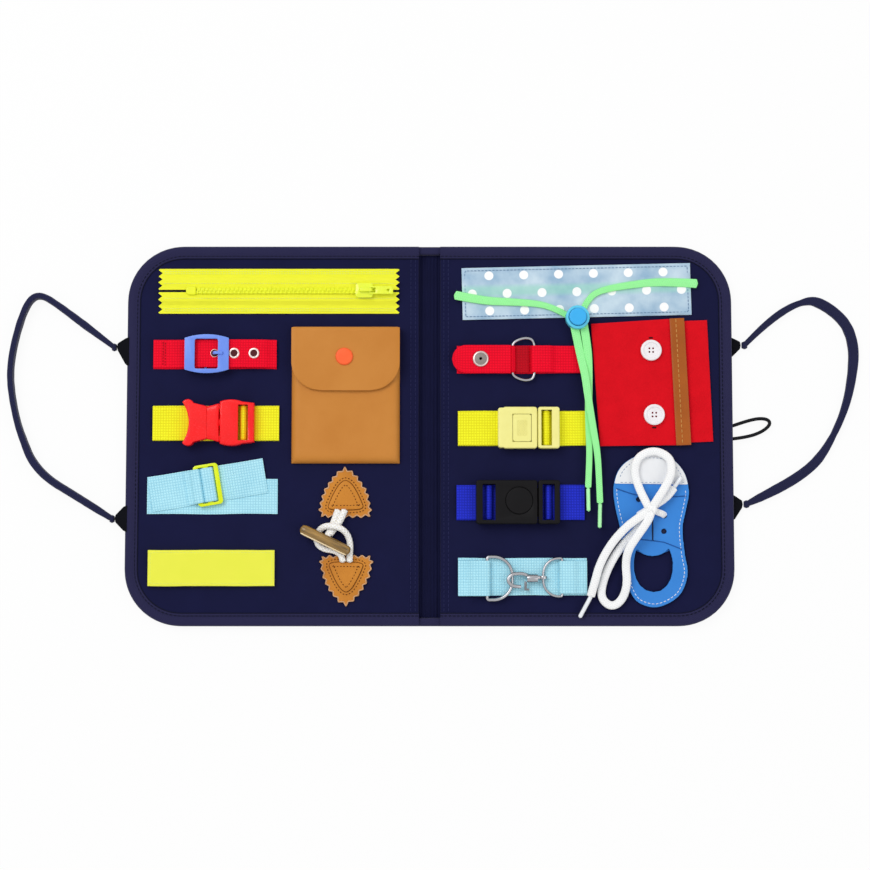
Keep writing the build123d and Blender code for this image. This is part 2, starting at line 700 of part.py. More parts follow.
def side_socket():
    """The hollow half: a flat sleeve for the plug's arms, a strap slot and its end bar."""
    cavity_half = 13.6
    with BuildPart() as socket:
        with BuildSketch(Plane.XY.offset(SIDE_LOW)):
            with BuildLine():
                Line((SOCKET_LEFT, SIDE_Y - 15.0), (SOCKET_LEFT, SIDE_Y + 15.0))
                ThreePointArc((SOCKET_LEFT, SIDE_Y + 15.0), (-140.5, SIDE_Y + SIDE_HALF), (-133.0, SIDE_Y + 15.0))
                Line((-133.0, SIDE_Y + 15.0), (SOCKET_RIGHT, SIDE_Y + 14.0))
                Line((SOCKET_RIGHT, SIDE_Y + 14.0), (SOCKET_RIGHT, SIDE_Y - 14.0))
                Line((SOCKET_RIGHT, SIDE_Y - 14.0), (-133.0, SIDE_Y - 15.0))
                ThreePointArc((-133.0, SIDE_Y - 15.0), (-140.5, SIDE_Y - SIDE_HALF), (SOCKET_LEFT, SIDE_Y - 15.0))
            make_face()
        extrude(amount=SIDE_THICKNESS)
        fillet(socket.edges().group_by(Axis.Z)[-1], radius=1.4)
        add(slab((SOCKET_BODY_RIGHT, SIDE_Y - SIDE_STRAP_HALF - RUN, SIDE_LOW - 1),
                 (-128.9, SIDE_Y + SIDE_STRAP_HALF + RUN, SIDE_LOW + 9)),
            mode=Mode.SUBTRACT)  # fmt: skip
        add(crossbar(SOCKET_BAR_X, SIDE_Y, SIDE_STRAP_HALF + 0.6, BAR_RADIUS))
        add(slab((SOCKET_LEFT - 1, SIDE_Y - cavity_half, SIDE_LOW + SIDE_WALL),
                 (ARM_TIP + 1.5, SIDE_Y + cavity_half, SIDE_LOW + SIDE_THICKNESS - SIDE_WALL)),
            mode=Mode.SUBTRACT)  # fmt: skip
    return socket.part


def side_plug():
    """The half with the two sprung arms and a guide tongue between them."""
    low, high = SIDE_LOW + SIDE_WALL + RUN, SIDE_LOW + SIDE_THICKNESS - SIDE_WALL - RUN
    with BuildPart() as plug:
        with BuildSketch(Plane.XY.offset(SIDE_LOW)):
            with BuildLine():
                ThreePointArc((PLUG_LEFT, SIDE_Y + 14.5), (-171.0, SIDE_Y), (PLUG_LEFT, SIDE_Y - 14.5))
                ThreePointArc((PLUG_LEFT, SIDE_Y - 14.5), (-172.5, SIDE_Y - SIDE_HALF), (-167.5, SIDE_Y - 14.0))
                Line((-167.5, SIDE_Y - 14.0), (-158.0, SIDE_Y - 11.6))
                Line((-158.0, SIDE_Y - 11.6), (-158.0, SIDE_Y + 11.6))
                Line((-158.0, SIDE_Y + 11.6), (-167.5, SIDE_Y + 14.0))
                ThreePointArc((-167.5, SIDE_Y + 14.0), (-172.5, SIDE_Y + SIDE_HALF), (PLUG_LEFT, SIDE_Y + 14.5))
            make_face()
        extrude(amount=SIDE_THICKNESS)
        fillet(plug.edges().group_by(Axis.Z)[-1], radius=1.0)
        add(slab((PLUG_BAR_X - 3.4, SIDE_Y - SIDE_STRAP_HALF - RUN, SIDE_LOW - 1),
                 (PLUG_BAR_X + 3.4, SIDE_Y + SIDE_STRAP_HALF + RUN, SIDE_LOW + 4.6)),
            mode=Mode.SUBTRACT)  # fmt: skip
        add(crossbar(PLUG_BAR_X, SIDE_Y, SIDE_STRAP_HALF + 0.6, BAR_RADIUS))
        for side in (-1, 1):
            with BuildSketch(Plane.XY.offset(low)):
                with BuildLine():
                    Polyline((-159.5, SIDE_Y + side * 7.2), (-159.5, SIDE_Y + side * 11.2),
                             (-150.0, SIDE_Y + side * 13.2), (ARM_TIP, SIDE_Y + side * 13.2),
                             (ARM_TIP, SIDE_Y + side * 9.6), (-150.0, SIDE_Y + side * 9.6), close=True)  # fmt: skip
                make_face()
            extrude(amount=high - low)
        add(slab((-159.5, SIDE_Y - 2.2, low), (-143.5, SIDE_Y + 2.2, high)))
    return plug.part


def fit_side_release():
    """Writes the side release buckle and its webbing."""
    write(base_and_loop((SIDE_LEFT, SIDE_RIGHT), SIDE_Y, WIDE_WEB, SOCKET_BAR_X, BAR_RADIUS, SIDE_RIGHT),
          "side_release_webbing")  # fmt: skip
    write(looped_strap(SIDE_LEFT, PLUG_BAR_X, BAR_RADIUS, SIDE_Y, WIDE_WEB, turn=250.0), "side_plug_webbing")
    write(side_socket(), "side_release_socket")
    write(side_plug(), "side_release_plug")


# ================================================================ tri-glide
GLIDE_LEVEL = TOP + 2 * WEB + LIE


def glide_plane(level):
    """The plane of the tilted strap, with X along it."""
    along = Plane(origin=(*GLIDE_CENTRE, level))
    return along.rotated((0, 0, GLIDE_TILT))


def glide_webbing():
    """The sewn base strap, and the folded strap that crosses it at a small angle."""
    reach_left, reach_right = 42.0, 41.0
    with BuildPart() as webbing:
        add(slab((GLIDE_LEFT, GLIDE_Y - WIDE_WEB / 2, TOP), (GLIDE_RIGHT, GLIDE_Y + WIDE_WEB / 2, TOP + WEB)))
        with BuildSketch(glide_plane(TOP + WEB)):
            with Locations(((reach_right - reach_left) / 2, 0)):
                Rectangle(reach_left + reach_right, WIDE_WEB)
        extrude(amount=WEB)
    return webbing.part


def glide_slider():
    """The slider: a flat frame with two slots and a middle bar between them."""
    length, width = GLIDE_SIZE
    slot = (length - 3 * GLIDE_RIM * 1.6) / 2
    with BuildPart() as slider:
        with BuildSketch(glide_plane(GLIDE_LEVEL)):
            RectangleRounded(length, width, 2.6)
            with Locations((-(slot + 3.0) / 2, 0), ((slot + 3.0) / 2, 0)):
                RectangleRounded(slot, width - 2 * GLIDE_RIM, 0.9, mode=Mode.SUBTRACT)
        extrude(amount=GLIDE_BAR)
    return slider.part


def glide_loop():
    """The stretch of strap that rides over the slider's middle bar and dives into both slots."""
    low = GLIDE_LEVEL + 0.6
    high = GLIDE_LEVEL + GLIDE_BAR + LIE + WEB / 2
    cut = glide_plane(0)
    route = ((-4.2, low), (-2.9, high), (2.9, high), (4.2, low))
    side = Plane(origin=cut.origin, x_dir=cut.x_dir, z_dir=-cut.y_dir).offset(-(WIDE_WEB - 0.6) / 2)
    with BuildPart() as loop:
        with BuildSketch(side):
            with BuildLine() as line:
                FilletPolyline(*route, radius=1.0)
            trace(line.line.edges(), line_width=WEB)
        extrude(amount=WIDE_WEB - 0.6)
    return loop.part


def fit_glide():
    """Writes the tri-glide's pieces."""
    write(glide_webbing(), "tri_glide_webbing")
    write(glide_slider(), "tri_glide_slider")
    write(glide_loop(), "tri_glide_strap_loop")


# ================================================================ hook and loop strip
def fit_hook_and_loop():
    """Writes the sewn hook strip and the loop strip that peels from it."""
    half = HOOK_WIDTH / 2
    middle = TOP + HOOK_THICKNESS
    write(slab((HOOK_LEFT, HOOK_Y - half, TOP), (HOOK_RIGHT, HOOK_Y + half, middle)), "hook_strip")
    write(slab((HOOK_LEFT, HOOK_Y - half, middle + LIE), (HOOK_RIGHT, HOOK_Y + half, middle + LIE + HOOK_THICKNESS)),
          "loop_strip")  # fmt: skip


# ================================================================ pouch
POUCH_FRONT = TOP + 2 * POUCH_SKIN + POUCH_ROOM
FLAP_BOTTOM = POUCH_FRONT + FLAP_GAP
FLAP_TOP = FLAP_BOTTOM + POUCH_SKIN


def pouch_body():
    """A sewn pocket, open along its upper edge."""
    with BuildPart() as pocket:
        add(slab((POUCH_LEFT, POUCH_LOW, TOP), (POUCH_RIGHT, POUCH_HIGH, POUCH_FRONT)))
        fillet(pocket.edges().group_by(Axis.Z)[-1].filter_by(Axis.Y), radius=2.0)
        wall = 3.0
        add(slab((POUCH_LEFT + wall, POUCH_LOW + wall, TOP + POUCH_SKIN),
                 (POUCH_RIGHT - wall, POUCH_HIGH + 1, POUCH_FRONT - POUCH_SKIN)), mode=Mode.SUBTRACT)  # fmt: skip
    return pocket.part


def pouch_flap():
    """The flap: it comes up behind the pocket's mouth and covers the upper half of the front."""
    back = POUCH_HIGH + RUN
    with BuildPart() as flap:
        with BuildSketch(Plane.XY.offset(FLAP_BOTTOM)):
            with Locations(((POUCH_LEFT + POUCH_RIGHT) / 2, (FLAP_LOW + back + FLAP_BACK) / 2)):
                base = Rectangle(POUCH_RIGHT - POUCH_LEFT, back + FLAP_BACK - FLAP_LOW)
            fillet(base.vertices().group_by(Axis.Y)[0], radius=FLAP_RADIUS)
        extrude(amount=POUCH_SKIN)
        add(slab((POUCH_LEFT, back, TOP + RUN), (POUCH_RIGHT, back + FLAP_BACK, FLAP_TOP)))
        with BuildSketch(Plane.XY.offset(FLAP_BOTTOM - 1)):
            with Locations(SNAP):
                Circle(SNAP_SOCKET[1])
        extrude(amount=2.5, mode=Mode.SUBTRACT)
    return flap.part


def snap_cap(centre, radius, low, high):
    """A domed snap cap that closes the hole above the socket ring."""
    with BuildPart() as cap:
        add(drum(centre, radius, low, high))
        fillet(cap.edges().group_by(Axis.Z)[-1], radius=(high - low) * 0.8)
    return cap.part


def pouch_snap():
    """The snap on the flap: its cap above and its socket ring below."""
    with BuildPart() as snap:
        add(snap_cap(SNAP, SNAP_RADIUS, FLAP_TOP, FLAP_TOP + SNAP_DOME))
        add(drum(SNAP, SNAP_SOCKET[1], FLAP_BOTTOM + 0.3, FLAP_TOP + 0.2))
    return snap.part


def fit_pouch():
    """Writes the pouch's pieces."""
    write(pouch_body(), "pouch_body")
    write(pouch_flap(), "pouch_flap")
    write(pouch_snap(), "pouch_snap_cap")


# ================================================================ toggle
def toggle_tabs():
    """Two leather tabs, each with a smaller leather patch sewn over the cord ends."""
    upper = ((-60.1, -23.3), (-78.5, -53.5), (-77.0, -58.5), (-42.8, -58.5), (-41.3, -53.5))
    upper_patch = ((-59.9, -32.5), (-72.6, -53.5), (-45.9, -53.5))
    lower = ((-59.1, -121.4), (-78.2, -90.2), (-75.5, -85.8), (-43.0, -85.8), (-40.0, -89.8))
    lower_patch = ((-59.1, -112.0), (-71.6, -90.9), (-46.6, -90.9))
    with BuildPart() as tabs:
        for tab, patch in ((upper, upper_patch), (lower, lower_patch)):
            add(polygon_slab(tab, TOP, TOP + TAB))
            add(polygon_slab(patch, TOP + TAB, TOP + 2 * TAB))
    return tabs.part


def toggle_plane(offset=0.0):
    """The plane across the toggle's length, at an offset along it from its middle."""
    angle = math.radians(TOGGLE_ANGLE)
    along = Vector(math.cos(angle), math.sin(angle), 0)
    return Plane(origin=(*TOGGLE, TOGGLE_Z), x_dir=(0, 0, 1), z_dir=along).offset(offset)


def toggle():
    """A turned toggle, thinner at both ends, with a neck in its middle for the cord."""
    half = TOGGLE_LENGTH / 2
    neck = TOGGLE_NECK_LENGTH / 2
    with BuildPart() as peg:
        for side in (-1, 1):
            with BuildSketch(toggle_plane(side * neck)):
                Circle(TOGGLE_RADIUS)
            with BuildSketch(toggle_plane(side * (neck + 8.0))):
                Circle(TOGGLE_RADIUS * 0.96)
            loft()
            with BuildSketch(toggle_plane(side * (neck + 8.0))):
                Circle(TOGGLE_RADIUS * 0.96)
            with BuildSketch(toggle_plane(side * half)):
                Circle(TOGGLE_RADIUS * 0.72)
            loft()
        with BuildSketch(toggle_plane(-neck - 0.5)):
            Circle(TOGGLE_NECK)
        extrude(amount=2 * neck + 1.0)
    return peg.part


def toggle_cords():
    """The ring of cord round the toggle's neck, the pair that holds it, and the loop from the lower tab."""
    level = TOP + TAB + TOGGLE_CORD
    low = 1.2  # the loop lies this much lower where it passes under the toggle
    pair = ((-65.4, -54.7, level), (-67.2, -60.5, level + 1.0), (-70.2, -67.0, level + 2.2))
    second = ((-57.0, -54.9, level), (-60.2, -60.8, level + 0.6), (-66.3, -65.4, level + 2.0))
    loop = (
        (-63.4, -90.4, level), (-64.0, -84.8, level), (-70.4, -83.0, level - 0.8),
        (-78.2, -83.4, level - low), (-85.6, -82.2, level - low), (-88.6, -76.4, level - low),
        (-84.8, -70.2, level - low), (-77.4, -68.0, level - low), (-69.9, -70.6, level - low),
        (-63.4, -69.6, level - 0.9), (-58.0, -72.8, level - 0.8), (-55.4, -78.4, level - 0.5),
        (-56.4, -83.8, level - 0.2), (-56.2, -90.4, level - 0.2),
    )  # fmt: skip
    with BuildPart() as cords:
        for number, points in enumerate((pair, second)):
            add(swept_tube(f"toggle_pair_{number}", points, TOGGLE_CORD))
        add(swept_tube("toggle_loop", loop, TOGGLE_CORD - 0.2))
        with BuildSketch(toggle_plane(-2.2)):
            Circle(TOGGLE_NECK + 0.8 + 2.0)
            Circle(TOGGLE_NECK + 0.8, mode=Mode.SUBTRACT)
        extrude(amount=4.4)
    return cords.part


def fit_toggle():
    """Writes the toggle's pieces."""
    write(toggle_tabs(), "toggle_tabs")
    write(toggle(), "toggle")
    write(toggle_cords(), "toggle_cords")


# ================================================================ lace tunnel and cord lock
TUNNEL_TOP = TOP + TUNNEL_THICKNESS
LACE_Z = TUNNEL_TOP + LACE_THICKNESS / 2 + 0.1
TAIL_A = (
    (101.3, 88.4), (105.2, 66.0), (108.95, 44.0), (109.8, 24.0), (109.9, 8.0), (109.2, -8.0),
    (108.6, -24.0), (108.4, -38.6),
)  # fmt: skip
TAIL_B = (
    (107.9, 89.5), (111.8, 67.0), (115.5, 46.0), (116.9, 26.0), (117.4, 8.0), (118.4, -10.0),
    (119.6, -30.3), (121.1, -49.6),
)  # fmt: skip


def lace_tunnel():
    """The dotted cloth casing, sewn down flat."""
    tilted = Plane(origin=(*TUNNEL, TOP)).rotated((0, 0, TUNNEL_TILT))
    with BuildPart() as casing:
        with BuildSketch(tilted):
            RectangleRounded(*TUNNEL_SIZE, 1.0)
        extrude(amount=TUNNEL_THICKNESS)
    return casing.part


def flat_lace(points, level):
    """A flat lace on a level route."""
    return swept_band([(x, y, level) for x, y in points], LACE_WIDTH, LACE_THICKNESS)


LEFT_ARM = (
    (20.4, 100.0), (36.5, 96.3), (57.4, 95.3), (76.6, 94.3), (89.7, 90.7), (99.0, 85.2),
)  # fmt: skip
RIGHT_ARM = (
    (188.6, 108.9), (166.7, 110.3), (142.2, 107.5), (122.1, 103.7), (113.4, 97.6), (109.0, 88.3),
)  # fmt: skip


def drawcord():
    """Both laces, where they are seen: the arms from the tunnel's ends, and the tails below the lock."""
    with BuildPart() as laces:
        add(flat_lace(LEFT_ARM, LACE_Z))
        add(flat_lace(RIGHT_ARM, LACE_Z))
        add(flat_lace(TAIL_A, TAIL_LEVEL))
        add(flat_lace(TAIL_B, TAIL_LEVEL))
    return laces.part


LOCK_FLOOR = 1.0  # wall under the slot
TAIL_LEVEL = LOCK_LEVEL + LOCK_FLOOR + RUN + LACE_THICKNESS / 2


def cord_lock():
    """Writes the round lock that runs down the tails, and its sprung button."""
    slot_height = LACE_THICKNESS + 2 * RUN
    slot_low = LOCK_LEVEL + LOCK_FLOOR
    top = LOCK_LEVEL + LOCK_HEIGHT
    pocket = slot_low + slot_height + 1.0
    slot_plane = Plane(origin=(*LOCK, slot_low)).rotated((0, 0, LOCK_WAY))
    with BuildPart() as body:
        add(drum(LOCK, LOCK_RADIUS, LOCK_LEVEL, top))
        fillet(body.edges().group_by(Axis.Z)[-1], radius=1.2)
        add(drum(LOCK, LOCK_BUTTON_RADIUS + RUN, pocket, top + 1), mode=Mode.SUBTRACT)
        with BuildSketch(slot_plane):
            Rectangle(3 * LOCK_RADIUS, 2 * LOCK_LACES + LACE_WIDTH + 2 * LIE)
        extrude(amount=slot_height, mode=Mode.SUBTRACT)
    with BuildPart() as button:
        add(drum(LOCK, LOCK_BUTTON_RADIUS, pocket + LOCK_PRESS + RUN, top + LOCK_BUTTON_HEIGHT))
        fillet(button.edges().group_by(Axis.Z)[-1], radius=1.0)
    write(body.part, "cord_lock_body")
    write(button.part, "cord_lock_button")


def aglets():
    """The plastic tips of the drawcord's tails and of the shoelace's ends."""
    ends = (
        ((108.4, -38.9, TAIL_LEVEL), (108.6, -55.5, TAIL_LEVEL)),
        ((121.1, -49.9, TAIL_LEVEL), (120.4, -66.4, TAIL_LEVEL)),
        (SHORT_TAIL[-1], SHORT_TIP),
        (LONG_TAIL[-1], LONG_TIP),
    )
    with BuildPart() as tips:
        for start, end in ends:
            way = Vector(*end) - Vector(*start)
            with BuildSketch(Plane(start, z_dir=way)):
                Circle(DRAW_AGLET)
            extrude(amount=way.length)
    return tips.part


# ================================================================ ring strap
RING_Z = bar_level(RING_WIRE)
STRAP_LEVEL = RING_Z + wrap_radius(RING_WIRE)


def wire_ring(bar_x, far_x, centre, half, wire, corners):
    """A D-ring that lies flat: corners are the bend beside its straight bar and the one far from it."""
    level = bar_level(wire)
    points = ((bar_x, centre, level), (bar_x, centre + half, level), (far_x, centre + half, level),
              (far_x, centre, level))  # fmt: skip
    with BuildPart() as ring:
        with BuildLine() as route:
            FilletPolyline(*points, radius=list(corners))
        path = route.wires()[0]
        with BuildSketch(Plane(path @ 0, z_dir=path % 0)):
            Circle(wire)
        sweep(path=path)
        mirror(about=Plane.XZ.offset(-centre))
    return ring.part


def ring_webbing():
    """The sewn base strap, the fold that holds the ring's far side, the loop on its bar and the stud."""
    half = NARROW_WEB / 2
    with BuildPart() as webbing:
        add(slab((RING_LEFT, RING_Y - half, TOP), (RING_RIGHT, RING_Y + half, TOP + WEB)))
        add(looped_strap(RING_LEFT + 2.0, RING_FOLD_X, RING_WIRE, RING_Y, NARROW_WEB))
        add(looped_strap(RING_RIGHT, RING_BAR_X, RING_WIRE, RING_Y, NARROW_WEB, back=10.0))
        add(drum(STRAP_SNAP, STUD_RADIUS, TOP + 2 * WEB, STRAP_LEVEL - WEB / 2 - RUN))
    return webbing.part


def snap_strap():
    """The strap that is folded back from the ring, with a round tip and a snap cap."""
    start = RING_FOLD_X - 0.8
    low = STRAP_LEVEL - WEB / 2
    half = NARROW_WEB / 2
    with BuildPart() as loose:
        with BuildSketch(Plane.XY.offset(low)):
            with BuildLine():
                Line((start, RING_Y - half), (STRAP_TIP + half, RING_Y - half))
                ThreePointArc((STRAP_TIP + half, RING_Y - half), (STRAP_TIP, RING_Y), (STRAP_TIP + half, RING_Y + half))
                Line((STRAP_TIP + half, RING_Y + half), (start, RING_Y + half))
                Line((start, RING_Y + half), (start, RING_Y - half))
            make_face()
        extrude(amount=WEB)
        add(snap_cap(STRAP_SNAP, STRAP_SNAP_RADIUS, low + WEB, low + WEB + SNAP_DOME))
    return loose.part


def fit_ring_strap():
    """Writes the ring strap's pieces."""
    write(ring_webbing(), "ring_strap_webbing")
    write(snap_strap(), "snap_strap")
    write(wire_ring(RING_BAR_X, RING_FOLD_X, RING_Y, RING_HALF, RING_WIRE, (2.6, 5.6)), "strap_d_ring")


# ================================================================ centre press buckles
PALE_LOW = TOP + 2 * WEB + LIE
BLACK_LOW = TOP + 2 * WEB + LIE


def pressed_socket(span, centre, half, low, thickness, wings):
    """A flat housing, with or without the narrower wings at its strap's end."""
    left, right = span
    with BuildPart() as housing:
        with BuildSketch(Plane.XY.offset(low)):
            with Locations(((left + right) / 2, centre)):
                RectangleRounded(right - left, 2 * half, 2.0)
            if wings:
                with Locations((left, centre)):
                    RectangleRounded(wings * 2, 2 * half - 1.2, 1.6)
        extrude(amount=thickness)
        fillet(housing.edges().group_by(Axis.Z)[-1], radius=1.0)
    return housing.part


def strap_window(span, centre, low, depth):
    """The hollow that a strap's loop sits in."""
    half = WIDE_WEB / 2 + RUN
    return slab((span[0], centre - half, low - 1), (span[1], centre + half, low + depth))


def tongue_plug(span, window, centre, half, low, thickness):
    """The half with an end bar, a window with the strap's bar, and a flat tongue for the housing."""
    left, right = span
    tongue_low = low + PALE_WALL + RUN
    with BuildPart() as plug:
        with BuildSketch(Plane.XY.offset(low)):
            with Locations(((left + right) / 2, centre)):
                RectangleRounded(right - left, 2 * half, 1.8)
        extrude(amount=thickness)
        fillet(plug.edges().group_by(Axis.Z)[-1], radius=1.0)
        add(strap_window(window, centre, low, thickness + 1), mode=Mode.SUBTRACT)
        add(crossbar(sum(window) / 2, centre, WIDE_WEB / 2 + 0.6, BAR_RADIUS))
        add(slab((left - PALE_TONGUE, centre - 10.0, tongue_low), (left + 1, centre + 10.0, tongue_low + 2.0)))
    return plug.part


def pale_buckle():
    """Writes the pale buckle: housing, square button and tongue plug."""
    bx, by, length, width = PALE_BUTTON
    top = PALE_LOW + PALE_THICKNESS
    with BuildPart() as housing:
        add(pressed_socket(PALE_SOCKET, PALE_Y, PALE_HALF, PALE_LOW, PALE_THICKNESS, 3.4))
        add(strap_window(PALE_RECESS, PALE_Y, PALE_LOW, 4.6), mode=Mode.SUBTRACT)
        add(crossbar(sum(PALE_RECESS) / 2, PALE_Y, WIDE_WEB / 2 + 0.6, BAR_RADIUS))
        add(slab((bx - length / 2 - RUN, by - width / 2 - RUN, PALE_LOW + PALE_WALL + 2 * RUN + 2.0),
                 (bx + length / 2 + RUN, by + width / 2 + RUN, top + 1)), mode=Mode.SUBTRACT)  # fmt: skip
        add(slab((PALE_SOCKET[1] - PALE_TONGUE - 1, PALE_Y - 10.3, PALE_LOW + PALE_WALL),
                 (PALE_SOCKET[1] + 1, PALE_Y + 10.3, PALE_LOW + PALE_WALL + 2 * RUN + 2.0)),
            mode=Mode.SUBTRACT)  # fmt: skip
    write(housing.part, "pale_buckle_socket")
    write(tongue_plug(PALE_PLUG, PALE_WINDOW, PALE_Y, PALE_HALF, PALE_LOW, PALE_THICKNESS), "pale_buckle_plug")
    floor = PALE_LOW + PALE_WALL + 2 * RUN + 2.0 + PRESS
    with BuildPart() as button:
        with BuildSketch(Plane.XY.offset(floor)):
            with Locations((bx, by)):
                RectangleRounded(length, width, 1.6)
        extrude(amount=top + 0.4 - floor)
        fillet(button.edges().group_by(Axis.Z)[-1], radius=0.5)
    write(button.part, "pale_buckle_button")


def black_buckle():
    """Writes the black buckle: housing, round button and tongue plug."""
    top = BLACK_LOW + BLACK_THICKNESS
    floor = BLACK_LOW + PALE_WALL + 2 * RUN + 2.0
    with BuildPart() as housing:
        add(pressed_socket(BLACK_SOCKET, BLACK_Y, BLACK_HALF, BLACK_LOW, BLACK_THICKNESS, 0.0))
        add(strap_window(BLACK_WINDOWS[0], BLACK_Y, BLACK_LOW, BLACK_THICKNESS + 1), mode=Mode.SUBTRACT)
        add(crossbar(sum(BLACK_WINDOWS[0]) / 2, BLACK_Y, WIDE_WEB / 2 + 0.6, BAR_RADIUS))
        add(drum(BLACK_BUTTON, BLACK_BUTTON_RADIUS + RUN, floor, top + 1), mode=Mode.SUBTRACT)
        add(slab((BLACK_SOCKET[1] - PALE_TONGUE - 1, BLACK_Y - 10.3, BLACK_LOW + PALE_WALL),
                 (BLACK_SOCKET[1] + 1, BLACK_Y + 10.3, floor)), mode=Mode.SUBTRACT)  # fmt: skip
    write(housing.part, "black_buckle_socket")
    write(tongue_plug(BLACK_PLUG, BLACK_WINDOWS[1], BLACK_Y, BLACK_HALF, BLACK_LOW, BLACK_THICKNESS),
          "black_buckle_plug")  # fmt: skip
    with BuildPart() as button:
        add(drum(BLACK_BUTTON, BLACK_BUTTON_RADIUS, floor + BLACK_PRESS, top + 0.3))
        fillet(button.edges().group_by(Axis.Z)[-1], radius=0.8)
    write(button.part, "black_buckle_button")


def buckle_straps(name, span, centre, bars):
    """The fixed strap on the housing with its sewn base, and the strap on the plug."""
    left, right = span
    write(base_and_loop(span, centre, WIDE_WEB, bars[0], BAR_RADIUS, left), f"{name}_buckle_webbing")
    write(looped_strap(right, bars[1], BAR_RADIUS, centre, WIDE_WEB, turn=250.0), f"{name}_plug_webbing")


def fit_press_buckles():
    """Writes both press buckles with their webbing."""
    pale_buckle()
    black_buckle()
    buckle_straps("pale", (PALE_LEFT, PALE_RIGHT), PALE_Y, (sum(PALE_RECESS) / 2, sum(PALE_WINDOW) / 2))
    buckle_straps("black", (BLACK_LEFT, BLACK_RIGHT), BLACK_Y, [sum(window) / 2 for window in BLACK_WINDOWS])


# ================================================================ trigger clasp
def clasp_webbing():
    """The sewn base strap, and a loop of strap on each ring's bar."""
    half = CLASP_WEB / 2
    left, right = LEFT_RING, RIGHT_RING
    with BuildPart() as webbing:
        add(slab((CLASP_LEFT, CLASP_Y - half, TOP), (CLASP_RIGHT, CLASP_Y + half, TOP + WEB)))
        add(looped_strap(CLASP_LEFT, left[0], left[4], left[2], left[5], back=9.0))
        add(looped_strap(CLASP_RIGHT, right[0], right[4], right[2], right[5], back=7.0))
    return webbing.part


def trigger_hook():
    """The clasp: a hooked wire loop over the left ring, a round body and a swivel eye on the right one."""
    level = HOOK_Z
    over = bar_level(LEFT_RING[4]) + LEFT_RING[4] + HOOK_WIRE + LIE
    hook = (
        (70.0, -100.6, level), (66.0, -98.8, level + 0.5), (58.2, -99.2, over), (54.6, -103.2, over),
        (58.0, -107.6, over), (64.5, -108.2, level + 0.8),
    )  # fmt: skip
    with BuildPart() as clasp:
        with BuildLine() as route:
            FilletPolyline(*hook, radius=radii_of(hook))
        path = route.wires()[0]
        with BuildSketch(Plane(path @ 0, z_dir=path % 0)):
            Circle(HOOK_WIRE)
        sweep(path=path)
        with BuildSketch(Plane.YZ.offset(69.0)):
            with Locations((-102.2, level)):
                Circle(2.9)
        extrude(amount=7.4)
        with BuildSketch(Plane.YZ.offset(76.0)):
            with Locations((-101.6, level - 0.6)):
                Circle(1.5)
        extrude(amount=2.2)
        with BuildSketch(Plane.XZ.offset(101.6 - 1.0)):
            with Locations((RIGHT_RING[1], level - 0.9)):
                Circle(2.7)
                Circle(1.9, mode=Mode.SUBTRACT)
        extrude(amount=2.0)
    return clasp.part


def hook_trigger():
    """The little lever that closes the hook's mouth."""
    level = HOOK_Z
    with BuildPart() as lever:
        add(slab((66.9, -109.4, level - 1.0), (68.7, -104.4, level + 1.0)))
        add(slab((66.9, -110.8, level - 1.0), (70.4, -109.4, level + 1.0)))
    return lever.part


def fit_clasp():
    """Writes the clasp's pieces."""
    write(clasp_webbing(), "clasp_webbing")
    write(wire_ring(*LEFT_RING[:5], (1.6, 13.0)), "clasp_left_ring")
    write(wire_ring(*RIGHT_RING[:5], (1.2, 11.0)), "clasp_right_ring")
    write(trigger_hook(), "trigger_hook")
    write(hook_trigger(), "hook_trigger")


# ================================================================ felt module
def buttonhole(centre, way):
    """Middle of the slit that a button was pushed through: it reaches past the button on one side."""
    return (centre[0], centre[1] + way * (SLIT_REACH - 2 * BUTTON_RADIUS) / 2 + way * 4.0)


def felt_flap():
    """The upper felt, with an upright slit under each button."""
    low = TOP + FELT
    with BuildPart() as flap:
        add(polygon_slab(FELT_CORNERS, low, low + FELT))
        with BuildSketch(Plane.XY.offset(low - 1)):
            for centre, way in zip(BUTTONS, (1, -1)):
                with Locations(buttonhole(centre, way)):
                    SlotOverall(SLIT_REACH, SLIT_WIDTH, rotation=90)
        extrude(amount=2 * FELT, mode=Mode.SUBTRACT)
    return flap.part


def felt_buttons():
    """The four-hole buttons, each on its thread shank through the slit."""
    top = TOP + 2 * FELT + 0.1
    with BuildPart() as buttons:
        for centre in BUTTONS:
            with BuildPart(mode=Mode.PRIVATE) as button:
                add(drum(centre, BUTTON_RADIUS, top, top + BUTTON_THICKNESS))
                fillet(button.edges().group_by(Axis.Z)[-1], radius=1.0)
                add(drum(centre, BUTTON_RADIUS - 2.0, top + BUTTON_THICKNESS - 0.6, top + BUTTON_THICKNESS + 1),
                    mode=Mode.SUBTRACT)  # fmt: skip
                with BuildSketch(Plane.XY.offset(top - 1)):
                    with Locations(centre):
                        with GridLocations(2.6, 2.6, 2, 2):
                            Circle(0.7)
                extrude(amount=BUTTON_THICKNESS + 2, mode=Mode.SUBTRACT)
            add(button.part)
            add(drum(centre, SLIT_WIDTH * 0.4, TOP + FELT, top))
    return buttons.part


def fit_felt():
    """Writes the felt module's pieces."""
    write(polygon_slab(FELT_BASE, TOP, TOP + FELT), "felt_base")
    write(felt_flap(), "felt_flap")
    band_low = TOP + 2 * FELT
    write(polygon_slab(BAND, band_low, band_low + BAND_THICKNESS), "felt_leather_band")
    write(felt_buttons(), "felt_buttons")


